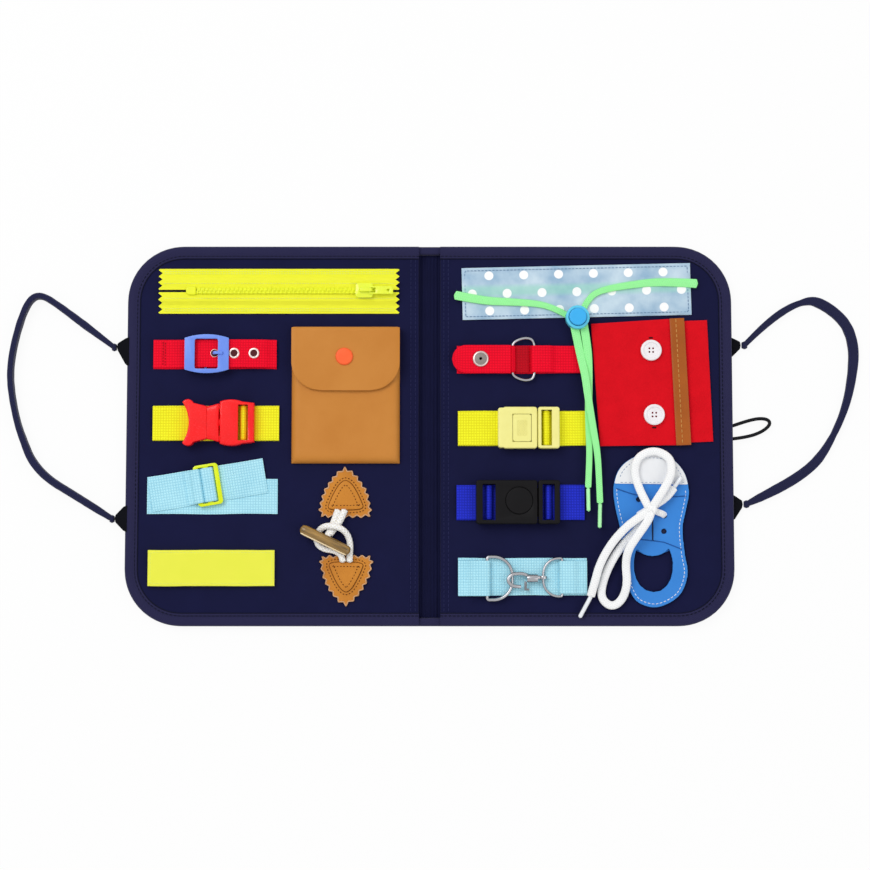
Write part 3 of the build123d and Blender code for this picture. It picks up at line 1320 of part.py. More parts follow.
# ================================================================ shoe
def shoe_outline():
    """Outline of the shoe seen from above: round toe, slim waist, round heel."""
    right = ((157.8, SHOE_TOE), (171.5, -13.5), (180.5, -24.5), (184.3, -38.0), (182.0, -54.0),
             (179.5, -67.0), (180.8, -84.0), (182.7, -99.7), (176.5, -114.5), (161.5, SHOE_HEEL))  # fmt: skip
    left = ((148.0, -119.5), (141.2, -110.0), (139.6, -99.7), (137.0, -84.0), (135.1, -67.0),
            (132.2, -54.0), (130.8, -38.0), (134.5, -24.5), (144.0, -13.5))  # fmt: skip
    with BuildLine() as edge:
        Spline(*right, *left, right[0], periodic=False, tangents=((1, 0), (1, 0)))
    return edge.line


def heel_opening():
    """Outline of the foot's opening, with the tongue's bulge at its upper edge."""
    with BuildLine() as edge:
        Spline((147.0, -84.0), (145.1, -97.0), (150.0, -108.5), (158.8, -111.7), (167.5, -108.0),
               (172.2, -97.0), (170.0, -84.0), (164.0, -83.0), (158.6, -86.6), (153.0, -83.0), (147.0, -84.0),
               tangents=((-0.4, -1), (-0.4, 1)))  # fmt: skip
    return edge.line


LACE_HOLES = ((148.5, -46.2), (166.6, -46.2), (148.5, -57.7), (166.6, -57.7), (150.8, -68.7), (166.2, -68.9))


def shoe_upper():
    """The shoe's layer: heel opening, throat slit and lace holes, with the tongue beneath."""
    low = TOP + SHOE_LAYER * 0.5
    with BuildPart() as upper:
        with BuildSketch(Plane.XY.offset(low)):
            make_face(shoe_outline().edges())
            make_face(heel_opening().edges(), mode=Mode.SUBTRACT)
            with Locations((SHOE_X + 0.4, -66.8)):
                SlotOverall(16.2, 1.2, rotation=90, mode=Mode.SUBTRACT)
            with Locations(*LACE_HOLES):
                Circle(1.9, mode=Mode.SUBTRACT)
        extrude(amount=SHOE_LAYER)
        with BuildSketch(Plane.XY.offset(TOP)):
            with Locations((SHOE_X + 0.4, -62.0)):
                RectangleRounded(30.0, 44.0, 6.0)
        extrude(amount=SHOE_LAYER * 0.5)
    return upper.part


def toe_cap():
    """The pale toe cap sewn over the front of the shoe."""
    low = TOP + SHOE_LAYER * 1.5
    with BuildPart() as cap:
        with BuildSketch(Plane.XY.offset(low)):
            make_face(shoe_outline().edges())
            with Locations((SHOE_X, CAP_LOW - 50.0)):
                Rectangle(80.0, 100.0, mode=Mode.SUBTRACT)
        extrude(amount=0.8)
    return cap.part


KNOT = (156.1, -53.5)
LACE_Z0 = TOP + SHOE_LAYER * 1.5 + 0.8 + LACE_RADIUS + 0.1
FLOOR_Z = TOP + LACE_RADIUS + 0.2
SHORT_TAIL = (
    (160.0, -50.2, LACE_Z0 + 3.0), (164.5, -47.0, LACE_Z0 + 1.6), (169.5, -43.4, LACE_Z0 + 0.6),
)  # fmt: skip
SHORT_TIP = (178.8, -30.4, LACE_Z0 + 0.2)
LONG_TAIL = (
    (151.8, -56.6, LACE_Z0 + 3.4), (144.9, -61.4, LACE_Z0 + 5.0), (138.2, -66.6, LACE_Z0 + 5.0),
    (128.4, -77.4, LACE_Z0 + 3.4), (120.0, -92.1, LACE_Z0 + 2.6), (116.2, -106.5, LACE_Z0 + 1.0),
    (113.6, -115.6, FLOOR_Z + 2.0),
)  # fmt: skip
LONG_TIP = (105.8, -130.0, BINDING_HEIGHT + 2.4)
TOP_LOOP = (
    (152.5, -48.4, LACE_Z0 + 2.2), (148.8, -39.6, LACE_Z0 + 1.0), (145.1, -28.1, LACE_Z0),
    (147.0, -16.6, LACE_Z0), (159.0, -11.0, LACE_Z0), (171.0, -16.6, LACE_Z0),
    (171.6, -28.1, LACE_Z0 + 3.6), (165.6, -39.6, LACE_Z0 + 6.6), (159.6, -47.6, LACE_Z0 + 6.6),
)  # fmt: skip
LOW_LOOP = (
    (152.6, -59.4, LACE_Z0 + 1.4), (146.0, -69.2, LACE_Z0 + 0.4), (136.1, -78.8, LACE_Z0 - 0.6),
    (127.4, -92.1, LACE_Z0 - 1.6), (121.9, -106.5, FLOOR_Z), (121.3, -116.5, FLOOR_Z),
    (128.4, -122.6, FLOOR_Z), (136.1, -118.0, FLOOR_Z), (139.8, -106.5, LACE_Z0),
    (138.4, -92.1, LACE_Z0 + 0.2), (140.0, -82.0, LACE_Z0 + 4.2), (146.4, -72.6, LACE_Z0 + 5.4),
    (152.0, -65.0, LACE_Z0 + 5.0), (155.6, -58.6, LACE_Z0 + 3.8),
)  # fmt: skip


def shoelace():
    """The knot, the two loops and the two tails of the bow."""
    with BuildPart() as lace:
        with Locations((*KNOT, LACE_Z0 + 3.0)):
            Sphere(4.4)
        for name, points in (("short_tail", SHORT_TAIL), ("long_tail", LONG_TAIL),
                             ("top_loop", TOP_LOOP), ("low_loop", LOW_LOOP)):  # fmt: skip
            add(swept_tube(name, points, LACE_RADIUS))
    return lace.part


def fit_shoe():
    """Writes the shoe, its lace and the plastic tips."""
    write(shoe_upper(), "shoe_upper")
    write(toe_cap(), "toe_cap")
    write(shoelace(), "shoelace")
    write(aglets(), "lace_aglets")


def fit_drawcord():
    """Writes the lace tunnel, the drawcord and the cord lock."""
    write(lace_tunnel(), "lace_tunnel")
    write(drawcord(), "drawcord")
    cord_lock()


os.makedirs("parts", exist_ok=True)
fit_covers()
fit_zipper()
fit_belt()
fit_side_release()
fit_glide()
fit_hook_and_loop()
fit_pouch()
fit_toggle()
fit_drawcord()
fit_ring_strap()
fit_press_buckles()
fit_clasp()
fit_felt()
fit_shoe()
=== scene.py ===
"""A folding textile busy board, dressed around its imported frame.

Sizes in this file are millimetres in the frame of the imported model: X across the open board,
Y to its top edge, Z out of its working side. Meshes are turned to metres when they are made.
"""

import json
import logging
import math
from dataclasses import dataclass
from enum import Enum
from typing import Sequence

import bmesh
import bpy
import numpy as np
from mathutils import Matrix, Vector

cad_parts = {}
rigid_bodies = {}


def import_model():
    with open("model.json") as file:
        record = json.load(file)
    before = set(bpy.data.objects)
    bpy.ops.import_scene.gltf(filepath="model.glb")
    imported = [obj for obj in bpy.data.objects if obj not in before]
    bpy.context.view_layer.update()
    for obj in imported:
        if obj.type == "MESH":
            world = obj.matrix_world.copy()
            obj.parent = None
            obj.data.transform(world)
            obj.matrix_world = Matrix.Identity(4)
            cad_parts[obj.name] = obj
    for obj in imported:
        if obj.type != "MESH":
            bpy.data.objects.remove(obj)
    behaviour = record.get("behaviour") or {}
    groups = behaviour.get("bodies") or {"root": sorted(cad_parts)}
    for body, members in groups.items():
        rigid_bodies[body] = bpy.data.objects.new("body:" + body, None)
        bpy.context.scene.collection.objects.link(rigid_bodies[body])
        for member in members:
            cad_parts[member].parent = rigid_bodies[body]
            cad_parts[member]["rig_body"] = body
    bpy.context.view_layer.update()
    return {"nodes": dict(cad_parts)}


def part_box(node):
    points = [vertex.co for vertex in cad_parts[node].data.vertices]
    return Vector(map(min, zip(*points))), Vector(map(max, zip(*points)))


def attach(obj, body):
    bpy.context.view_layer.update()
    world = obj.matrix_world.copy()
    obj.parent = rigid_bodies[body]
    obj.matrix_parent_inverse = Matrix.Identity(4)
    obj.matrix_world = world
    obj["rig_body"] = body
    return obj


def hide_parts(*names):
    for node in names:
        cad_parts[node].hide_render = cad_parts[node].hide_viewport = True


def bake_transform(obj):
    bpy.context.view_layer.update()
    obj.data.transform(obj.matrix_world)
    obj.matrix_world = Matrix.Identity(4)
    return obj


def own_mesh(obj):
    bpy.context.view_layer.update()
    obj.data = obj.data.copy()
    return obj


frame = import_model()

MM = 0.001
TOP = 7.0  # the working face of both covers
WRAP = 250.0  # degrees that a strap goes round the bar of a buckle's socket or plug
LOG = logging.getLogger("busy_board")

Points = np.ndarray
Route = Sequence[tuple[float, ...]]
Pair = tuple[float, float]
Triple = tuple[float, float, float]
Colour = tuple[float, float, float, float]
Piece = bpy.types.Object
Tree = bpy.types.NodeTree
Socket = bpy.types.NodeSocket
LEFT, RIGHT = "left_cover", "right_cover"


class Space(Enum):
    """Where a pattern is read from: the frame, or the cloth's own map along and across."""

    FRAME = "Object"
    CLOTH = "UV"


class Weave(Enum):
    """How threads cross."""

    PLAIN = "plain"
    GRID = "grid"
    TWILL = "twill"


# ---------------------------------------------------------------- finishes
def linear(colour: str) -> Colour:
    """Turns an sRGB hex colour to linear light, with an alpha of one."""
    channels = (int(colour[i : i + 2], 16) / 255 for i in (1, 3, 5))
    return (*(c / 12.92 if c <= 0.04045 else ((c + 0.055) / 1.055) ** 2.4 for c in channels), 1.0)


def wire(tree: Tree, node: bpy.types.Node, inputs: dict) -> None:
    """Links each input, by name or number, to a socket, or sets it to a value."""
    for key, value in inputs.items():
        if isinstance(value, Socket):
            tree.links.new(value, node.inputs[key])
        else:
            node.inputs[key].default_value = value


def put(tree: Tree, kind: str, settings: dict | None = None, inputs: dict | None = None) -> bpy.types.Node:
    """Adds one node with its settings, and links or sets its inputs."""
    node = tree.nodes.new(kind)
    for key, value in (settings or {}).items():
        setattr(node, key, value)
    wire(tree, node, inputs or {})
    return node


def blank(owner: bpy.types.Material | bpy.types.World) -> Tree:
    """The emptied node tree of a material or a world."""
    owner.use_nodes = True
    owner.node_tree.nodes.clear()
    return owner.node_tree


def place_in(tree: Tree, space: Space = Space.FRAME) -> Socket:
    """Where the shaded point is: in the frame, or on the cloth's own map."""
    return put(tree, "ShaderNodeTexCoord").outputs[space.value]


def maths(tree: Tree, operation: str, *values: Socket | float, clamp: bool = False) -> Socket:
    """The result of one operation on numbers."""
    return put(tree, "ShaderNodeMath", {"operation": operation, "use_clamp": clamp},
               dict(enumerate(values))).outputs[0]


def noise(tree: Tree, place: Socket, scale: float, detail: float, distortion: float = 0.0) -> Socket:
    """A random field from 0 to 1, with scale waves to the metre."""
    return put(tree, "ShaderNodeTexNoise", inputs={"Vector": place, "Scale": scale, "Detail": detail,
                                                   "Distortion": distortion}).outputs["Fac"]


def ranged(tree: Tree, value: Socket, before: Pair = (0.0, 1.0), after: Pair = (0.0, 1.0)) -> Socket:
    """A number moved from one range to another, and held at the ends."""
    return put(tree, "ShaderNodeMapRange",
               inputs={"Value": value, "From Min": before[0], "From Max": before[1],
                       "To Min": after[0], "To Max": after[1]}).outputs[0]


def mixed(tree: Tree, share: Socket, first: Socket | Colour, second: Colour) -> Socket:
    """The first colour with that share of the second."""
    return put(tree, "ShaderNodeMix", {"data_type": "RGBA"}, {0: share, 6: first, 7: second}).outputs[2]


def bump(tree: Tree, height: Socket, relief: float, strength: float) -> Socket:
    """The normal of a face that stands out by height times relief, in millimetres."""
    return put(tree, "ShaderNodeBump", inputs={"Height": height, "Distance": relief * MM,
                                               "Strength": strength}).outputs[0]


@dataclass(frozen=True)
class Finish:
    """A colour, a roughness and the shade that the pattern of a subclass moves the colour to."""

    name: str
    colour: str
    roughness: float = 0.6
    shade: str = "#000000"

    def material(self) -> bpy.types.Material:
        """Makes the material, or returns the one made before."""
        label = f"{self.name}_finish"
        made = bpy.data.materials.get(label)
        if made:
            return made
        made = bpy.data.materials.new(label)
        made.diffuse_color = linear(self.colour)
        tree = blank(made)
        shader = put(tree, "ShaderNodeBsdfPrincipled", inputs={"Base Color": linear(self.colour),
                                                               "Roughness": self.roughness})
        put(tree, "ShaderNodeOutputMaterial", inputs={"Surface": shader.outputs["BSDF"]})
        wire(tree, shader, self.dress(tree))
        return made

    def shaded(self, tree: Tree, share: Socket) -> Socket:
        """The colour with that share of the shade."""
        return mixed(tree, share, linear(self.colour), linear(self.shade))

    def dress(self, tree: Tree) -> dict:
        """The shader's inputs that the pattern drives. A plain finish has none."""
        return {}


@dataclass(frozen=True)
class Cloth(Finish):
    """Woven yarn: rounded threads that cross at a real pitch, with painted shade in the gaps between them."""

    thread: Pair = (1.0, 1.0)  # pitch along and across, in millimetres
    relief: float = 0.12  # height of the threads, in millimetres
    contrast: float = 0.5
    weave: Weave = Weave.PLAIN
    space: Space = Space.FRAME
    sheen: float = 0.05

    def dress(self, tree: Tree) -> dict:
        """Height is two crossing sines; painted shade darkens the gaps, and slow blotches vary the colour."""
        place = place_in(tree, self.space)
        parts = put(tree, "ShaderNodeSeparateXYZ", inputs={0: place})
        grid = self.weave is Weave.GRID
        waves = [maths(tree, "MULTIPLY", parts.outputs[axis], math.pi / (pitch * MM) * (1 if grid else 2))
                 for axis, pitch in zip("XY", self.thread)]
        if self.weave is Weave.TWILL:
            height = maths(tree, "SINE", maths(tree, "ADD", *waves))
        else:
            sines = [maths(tree, "SINE", wave) for wave in waves]
            if grid:
                sines = [maths(tree, "ABSOLUTE", sine) for sine in sines]
            height = maths(tree, "MINIMUM" if grid else "MULTIPLY", *sines)
        # painted shade: the colour falls towards the shade in the gaps between threads
        gap = ranged(tree, height, (0.0 if grid else -1.0, 0.8), (self.contrast, 0.0))
        drift = ranged(tree, noise(tree, place, 55.0, 4.0), (0.35, 0.75), (0.0, 0.16))
        return {"Base Color": self.shaded(tree, maths(tree, "ADD", gap, drift, clamp=True)),
                "Normal": bump(tree, height, self.relief, 0.7), "Sheen Weight": self.sheen,
                "Sheen Roughness": 0.5, "Specular IOR Level": 0.06}


@dataclass(frozen=True)
class Leather(Finish):
    """Coated leather: fine pores, slow colour drift and a soft gloss that breaks up over the grain."""

    grain: float = 1.1  # size of a pore cell, in millimetres
    relief: float = 0.07
    drift: float = 0.5

    def dress(self, tree: Tree) -> dict:
        """Cells give the pores, one slow noise the colour and one fast noise the roughness."""
        place = place_in(tree)
        cells = put(tree, "ShaderNodeTexVoronoi", inputs={"Vector": place, "Scale": 1 / (self.grain * MM)})
        fast = noise(tree, place, 420.0, 3.0)
        amount = ranged(tree, noise(tree, place, 38.0, 5.0), (0.35, 0.7), (0.0, self.drift))
        height = maths(tree, "ADD", cells.outputs["Distance"], fast)
        return {"Base Color": self.shaded(tree, amount),
                "Roughness": ranged(tree, fast, after=(self.roughness - 0.12, self.roughness + 0.12)),
                "Normal": bump(tree, height, self.relief, 0.5), "Specular IOR Level": 0.2}


@dataclass(frozen=True)
class Plastic(Finish):
    """Moulded acetal: an even colour with slight flow waves, and a gloss that is never quite even."""

    clear: float = 0.0  # share of a clear coat
    gloss: float = 0.28  # strength of its plain reflection

    def dress(self, tree: Tree) -> dict:
        """Flow waves of about 6 mm tint the colour and lift the surface; a fine noise breaks the gloss."""
        place = place_in(tree)
        flow, fine = noise(tree, place, 160.0, 2.0), noise(tree, place, 900.0, 2.0)
        return {"Base Color": self.shaded(tree, ranged(tree, flow, (0.4, 0.75), (0.0, 0.3))),
                "Roughness": ranged(tree, fine, after=(self.roughness - 0.06, self.roughness + 0.08)),
                "Normal": bump(tree, flow, 0.12, 0.35), "Coat Weight": self.clear,
                "Specular IOR Level": self.gloss}


@dataclass(frozen=True)
class Metal(Finish):
    """Plated steel: bright, with a haze of fine scratches."""

    def dress(self, tree: Tree) -> dict:
        """A noise of about 1 mm moves the roughness."""
        haze = noise(tree, place_in(tree), 800.0, 4.0)
        return {"Roughness": ranged(tree, haze, after=(self.roughness * 0.5, self.roughness * 1.6)),
                "Metallic": 1.0}


@dataclass(frozen=True)
class Felt(Finish):
    """Pressed fibres: matt, cloudy, with short hairs that catch the light."""

    def dress(self, tree: Tree) -> dict:
        """A fibre noise of 1 mm over clouds of 12 mm gives colour and height."""
        place = place_in(tree)
        fibre, cloud = noise(tree, place, 900.0, 6.0, 1.2), noise(tree, place, 85.0, 3.0)
        amount = ranged(tree, maths(tree, "MULTIPLY", fibre, cloud), (0.14, 0.38), (0.0, 0.3))
        return {"Base Color": self.shaded(tree, amount), "Normal": bump(tree, fibre, 0.3, 0.6),
                "Sheen Weight": 0.06, "Sheen Roughness": 0.6, "Specular IOR Level": 0.05}


@dataclass(frozen=True)
class DottedSatin(Finish):
    """Thin satin with printed round dots, set in rows that are offset by half a pitch."""

    dot: str = "#ffffff"
    pitch: Pair = (25.0, 25.4)
    first: Pair = (42.5, 114.4)
    radius: float = 3.35
    tilt: float = 1.3
    lace: str = "#93dcc0"  # the lace inside, seen through the satin
    lace_at: float = 23.4

    def dress(self, tree: Tree) -> dict:
        """Two lattices wrap the place to one cell, and a dot is where it is near the cell's middle."""
        place = place_in(tree)
        half = [p * MM / 2 for p in self.pitch]
        masks = []
        for share in (0.0, 0.5):
            middle = [(self.first[i] + share * self.pitch[i]) * MM for i in (0, 1)]
            shifted = put(tree, "ShaderNodeMapping", {"vector_type": "TEXTURE"},
                          {"Vector": place, "Location": (*middle, 0),
                           "Rotation": (0, 0, math.radians(self.tilt))})
            cell = put(tree, "ShaderNodeVectorMath", {"operation": "WRAP"},
                       {0: shifted.outputs[0], 1: (*half, 1.0), 2: (-half[0], -half[1], -1.0)})
            flat = put(tree, "ShaderNodeVectorMath", {"operation": "MULTIPLY"},
                       {0: cell.outputs[0], 1: (1, 1, 0)})
            reach = put(tree, "ShaderNodeVectorMath", {"operation": "LENGTH"}, {0: flat.outputs[0]})
            masks.append(ranged(tree, reach.outputs["Value"], (self.radius * MM, (self.radius - 0.25) * MM)))
        # painted light and shade of the satin's folds: a slow noise moves the colour towards its shade
        ground = self.shaded(tree, ranged(tree, noise(tree, place, 60.0, 5.0), (0.3, 0.7)))
        up = put(tree, "ShaderNodeSeparateXYZ", inputs={0: shifted.outputs[0]}).outputs["Y"]
        away = maths(tree, "ABSOLUTE", maths(tree, "ADD", up, self.lace_at * MM))
        washed = mixed(tree, ranged(tree, away, (2.0 * MM, 5.0 * MM), (0.5, 0.0)), ground, linear(self.lace))
        weave = put(tree, "ShaderNodeTexWave", inputs={"Vector": place, "Scale": 260.0, "Distortion": 1.0})
        return {"Base Color": mixed(tree, maths(tree, "MAXIMUM", *masks), washed, linear(self.dot)),
                "Normal": bump(tree, weave.outputs["Fac"], 0.05, 0.4), "Specular IOR Level": 0.3}


@dataclass(frozen=True)
class Braid(Finish):
    """Braided yarn: two sets of strands that wind opposite ways round a cord or along a flat lace."""

    step: float = 2.4  # along the cord for one strand, in millimetres
    across: float = 2.0  # across the cord for one strand, in millimetres
    relief: float = 0.3

    def dress(self, tree: Tree) -> dict:
        """Height is the larger of two slanted sines, read from the cord's own map."""
        parts = put(tree, "ShaderNodeSeparateXYZ", inputs={0: place_in(tree, Space.CLOTH)})
        along = maths(tree, "MULTIPLY", parts.outputs["X"], 2 * math.pi / (self.step * MM))
        around = maths(tree, "MULTIPLY", parts.outputs["Y"], math.pi / (self.across * MM))
        height = maths(tree, "MAXIMUM", *(maths(tree, "SINE", maths(tree, way, along, around))
                                          for way in ("ADD", "SUBTRACT")))
        # painted shade: the colour falls towards the shade in the grooves between strands
        return {"Base Color": self.shaded(tree, ranged(tree, height, (-0.6, 0.7), (0.8, 0.0))),
                "Normal": bump(tree, height, self.relief, 0.8), "Specular IOR Level": 0.1}


@dataclass(frozen=True)
class Grain(Finish):
    """Varnished wood: streaks along the piece, darker in the pores."""

    turn: float = 0.0  # of the grain, in degrees from X

    def dress(self, tree: Tree) -> dict:
        """A noise drawn out ten times along the grain gives the streaks."""
        turned_place = put(tree, "ShaderNodeMapping",
                           inputs={"Vector": place_in(tree), "Rotation": (0, 0, math.radians(-self.turn))})
        drawn = put(tree, "ShaderNodeMapping",
                    inputs={"Vector": turned_place.outputs[0], "Scale": (0.1, 1.0, 1.0)})
        streak = noise(tree, drawn.outputs[0], 620.0, 5.0)
        return {"Base Color": self.shaded(tree, ranged(tree, streak, (0.32, 0.68))),
                "Normal": bump(tree, streak, 0.1, 0.4), "Coat Weight": 0.3}


def webbing(name: str, colour: str, shade: str) -> Cloth:
    """Polypropylene webbing: a grid of rounded floats, really 1.6 mm and drawn at 1.9 mm to show."""
    return Cloth(name, colour, 0.55, shade, (1.9, 1.9), 0.28, 0.5, Weave.GRID, Space.CLOTH, 0.0)


def thread(name: str, colour: str, shade: str, contrast: float = 0.4) -> Cloth:
    """Sewing thread of 0.6 mm."""
    return Cloth(name, colour, 0.6, shade, (0.6, 0.6), 0.05, contrast)


# Cotton drill of the covers: matt and even. Its 0.5 mm threads are drawn at 1 mm so that they show.
NAVY_CLOTH = Cloth("navy_cotton_drill", "#181a40", 0.8, "#0a0b20", (1.0, 1.0), 0.07, 0.35)
SPINE_CLOTH = Cloth("navy_cotton_spine", "#15173a", 0.85, "#090a1d", (1.0, 1.0), 0.07, 0.35)
# Twill tape of the bindings: paler than the covers where its ribs catch the light.
BINDING_TAPE = Cloth("navy_twill_tape", "#2c2b4c", 0.75, "#201f44", (1.5, 1.8), 0.12, 0.45, Weave.TWILL,
                     Space.CLOTH, 0.1)
STRAP_CLOTH = Cloth("navy_cotton_strap", "#242649", 0.75, "#12132b", (1.2, 1.2), 0.15, 0.5, Weave.PLAIN,
                    Space.CLOTH, 0.25)
GUSSET_CLOTH = Cloth("black_cotton_gusset", "#0c0d14", 0.8, "#050508", (1.0, 1.0), 0.08, 0.4)
NAVY_THREAD = thread("navy_thread", "#2a2d58", "#16183a")
EYELET_SHADE = Plastic("eyelet_hole_shade", "#4a1016", 0.7, "#2c080c")
BELT_THREAD = thread("dark_red_thread", "#9c0c1c", "#6c0812")
HOLE_SHADE = Plastic("punched_hole_shade", "#101736", 0.7, "#0b1029")
PANEL_EDGE = Cloth("shoe_panel_edge", "#2a63ab", 0.7, "#1f4f90", (0.6, 0.6), 0.05, 0.4)
# painted shade: red webbing drawn darker for the shaded window between the ring strap's folds
SHADED_WEBBING = webbing("red_webbing_painted_shade", "#c40d20", "#98081a")
# dark thread for the binding stitches, and painted shadow for the line in the groove inside each binding
DARK_THREAD_AND_SHADOW = thread("dark_thread_and_painted_shadow", "#0f1128", "#07081a")
BLACK_ELASTIC = Braid("black_elastic", "#17171c", 0.6, "#050506", 1.2, 1.0, 0.1)
RED_WEBBING = webbing("red_webbing", "#ff0d2e", "#b6001a")
YELLOW_WEBBING = webbing("yellow_webbing", "#ffff2e", "#cfbe00")
SKY_WEBBING = webbing("pale_blue_webbing", "#bdf2ff", "#6fb9d6")
BLUE_WEBBING = webbing("royal_blue_webbing", "#2a37d8", "#0c1374")
NEON_TAPE = Cloth("neon_zipper_tape", "#ffff3c", 0.7, "#eef524", (1.4, 1.0), 0.16, 0.3, Weave.TWILL,
                  Space.CLOTH, 0.2)
NEON_TEETH = Plastic("neon_acetal_teeth", "#eef420", 0.35, "#d6de10")
NEON_ENAMEL = Plastic("neon_enamel", "#edfa38", 0.25, "#d6e41e", 0.4)
NEON_THREAD = thread("neon_thread", "#f3f98c", "#d8e43a", 0.3)
LOOP_TAPE = Cloth("neon_loop_tape", "#ffff52", 0.9, "#f0fc3a", (0.9, 0.9), 0.2, 0.3, Weave.PLAIN,
                  Space.CLOTH, 0.5)
BLUE_ACETAL = Plastic("cornflower_acetal", "#6f93ee", 0.3, "#5a80e0")
RED_ACETAL = Plastic("red_acetal", "#fc0f14", 0.25, "#ea0a10", 0.1)
LIME_ACETAL = Plastic("lime_acetal", "#e3f215", 0.28, "#cbdc06")
ORANGE_ENAMEL = Plastic("orange_snap_enamel", "#ff6733", 0.4, "#f0551f")
TAN_LEATHER = Leather("tan_leatherette", "#c98438", 0.5, "#bd7629", 1.0, 0.05)
TAB_LEATHER = Leather("brown_split_leather", "#cf862e", 0.55, "#a3601d", 1.4, 0.12)
RAW_EDGE = Leather("raw_leather_edge", "#dcae82", 0.7, "#b98655", 1.4, 0.12)
BAND_LEATHER = Leather("brown_band_leather", "#ab5a1c", 0.38, "#8a4312", 1.0, 0.08)
TAB_THREAD = thread("brown_thread", "#6b3a14", "#4a260c")
TAN_THREAD = thread("pale_brown_thread", "#d59a55", "#a86f33")
HORN = Grain("varnished_wood", "#a8813c", 0.35, "#574014", -25.8)
# painted highlight: a pale strip along the toggle's lower long edge
HORN_HIGHLIGHT = Grain("wood_edge_painted_highlight", "#f0dcb4", 0.5, "#d9bd8c", -25.8)
CREAM_CORD = Braid("cream_cotton_braid", "#ffffff", 0.75, "#f3eed8", 2.6, 1.6, 0.22)
SATIN = DottedSatin("dotted_blue_satin", "#cbdfec", 0.42, "#93b5d0")
SATIN_THREAD = thread("blue_thread", "#6f8fb4", "#557299")
GREEN_LACE = Braid("mint_flat_braid", "#a6ffa8", 0.65, "#80f088", 1.6, 1.4, 0.12)
GREEN_TIP = Plastic("mint_film_tip", "#b4ffb6", 0.25, "#8ff095", 0.5)
SKY_ACETAL = Plastic("sky_blue_acetal", "#3db4f4", 0.33, "#34a8ea")
SKY_RIM = Plastic("pale_sky_acetal", "#5fd0f0", 0.3, "#48bfe4")
NICKEL = Metal("nickel_plate", "#a4a4a8", 0.22)
DARK_NICKEL = Metal("dark_nickel_plate", "#77787c", 0.3)
SNAP_DISC = Plastic("worn_snap_disc", "#8f8780", 0.4, "#6e665f")
EYELET_METAL = Metal("bright_eyelet", "#cdbdb9", 0.35)
CREAM_ACETAL = Plastic("cream_acetal", "#f5ef94", 0.35, "#e9e07c")
CREAM_GRIP = Plastic("cream_acetal_grip", "#e4dc86", 0.45, "#d8cf78")
BLACK_ACETAL = Plastic("black_acetal", "#100f11", 0.45, "#0a090b", 0.0, 0.1)
RED_FELT = Felt("red_felt", "#e00e1e", 0.95, "#b50512")
BUTTON_RESIN = Plastic("white_button_resin", "#f4f0f3", 0.2, "#e6dfe6", 0.5)
# painted shade: dark lines in the buttonhole slits, where the felt under them lies in shade
SLIT_SHADE = thread("painted_slit_shade", "#3d0a10", "#220509")
SHOE_LEATHER = Leather("blue_shoe_leather", "#3a89dd", 0.45, "#2f7acb", 1.0, 0.04)
# painted shade: the shoe's blue leather drawn darker where the tongue lies in shade under the upper
TONGUE_LEATHER_IN_SHADE = Leather("blue_tongue_leather_painted_shade", "#2d78cc", 0.5, "#2466b4", 1.0, 0.05)
CAP_LEATHER = Leather("white_toe_leather", "#f2f3f5", 0.4, "#dfe2e6", 1.0, 0.04)
WHITE_THREAD = thread("white_thread", "#f3f6fb", "#c7d3e6", 0.3)
WHITE_LACE = Braid("white_round_lace", "#ffffff", 0.75, "#eef1f4", 1.8, 1.5, 0.1)
WHITE_TIP = Plastic("clear_film_tip", "#eef1f5", 0.2, "#d8dee6", 0.6)


# ---------------------------------------------------------------- surfaces
@dataclass
class Surface:
    """A mesh as arrays: points in millimetres, faces, and each corner's place on the cloth in metres."""

    points: Points
    faces: list[tuple[int, ...]]
    chart: Points

    def __add__(self, other: "Surface") -> "Surface":
        """Both surfaces as one."""
        shift = len(self.points)
        moved = [tuple(i + shift for i in face) for face in other.faces]
        return Surface(np.vstack([self.points, other.points]), self.faces + moved,
                       np.vstack([self.chart, other.chart]))


def joined(parts: Sequence[Surface]) -> Surface:
    """Surfaces as one."""
    return sum(parts[1:], parts[0])


def lattice(rows: int, columns: int) -> tuple[Points, Points]:
    """Quads of a grid whose columns close into a ring.

    Returns:
        Point numbers of each quad, and the row and column of each corner, with the last column not wrapped.
    """
    i, j = np.meshgrid(np.arange(rows - 1), np.arange(columns), indexing="ij")
    corners = np.stack([np.stack([i, j]), np.stack([i + 1, j]), np.stack([i + 1, j + 1]),
                        np.stack([i, j + 1])])
    corners = corners.transpose(2, 3, 0, 1).reshape(-1, 4, 2)
    return corners[..., 0] * columns + corners[..., 1] % columns, corners


def fans(rows: int, columns: int) -> tuple[Points, Points]:
    """Triangles that close the first and the last ring of a lattice, to two points that follow its own."""
    around = np.arange(columns)
    after, base = (around + 1) % columns, rows * columns
    first = np.stack([np.full(columns, base), after, around], axis=1)
    last = np.stack([np.full(columns, base + 1), base - columns + around, base - columns + after], axis=1)
    return first, last


def lengths(path: Points) -> Points:
    """Distance along a path of points to each of them."""
    return np.concatenate([[0.0], np.cumsum(np.linalg.norm(np.diff(path, axis=0), axis=1))])


def resample(path: Points, step: float) -> Points:
    """Points at even steps along a polyline, ends kept."""
    along = lengths(path)
    count = max(2, int(round(along[-1] / step)) + 1)
    places = np.linspace(0, along[-1], count)
    return np.stack([np.interp(places, along, path[:, k]) for k in range(path.shape[1])], axis=1)


def evened(loop: Points, step: float) -> Points:
    """A closed outline with its points at even steps."""
    return resample(np.vstack([loop, loop[:1]]), step)[:-1]


def rotated(x: Points, y: Points, degrees: float) -> tuple[Points, Points]:
    """Flat places turned about the origin."""
    c, s = math.cos(math.radians(degrees)), math.sin(math.radians(degrees))
    return x * c - y * s, x * s + y * c


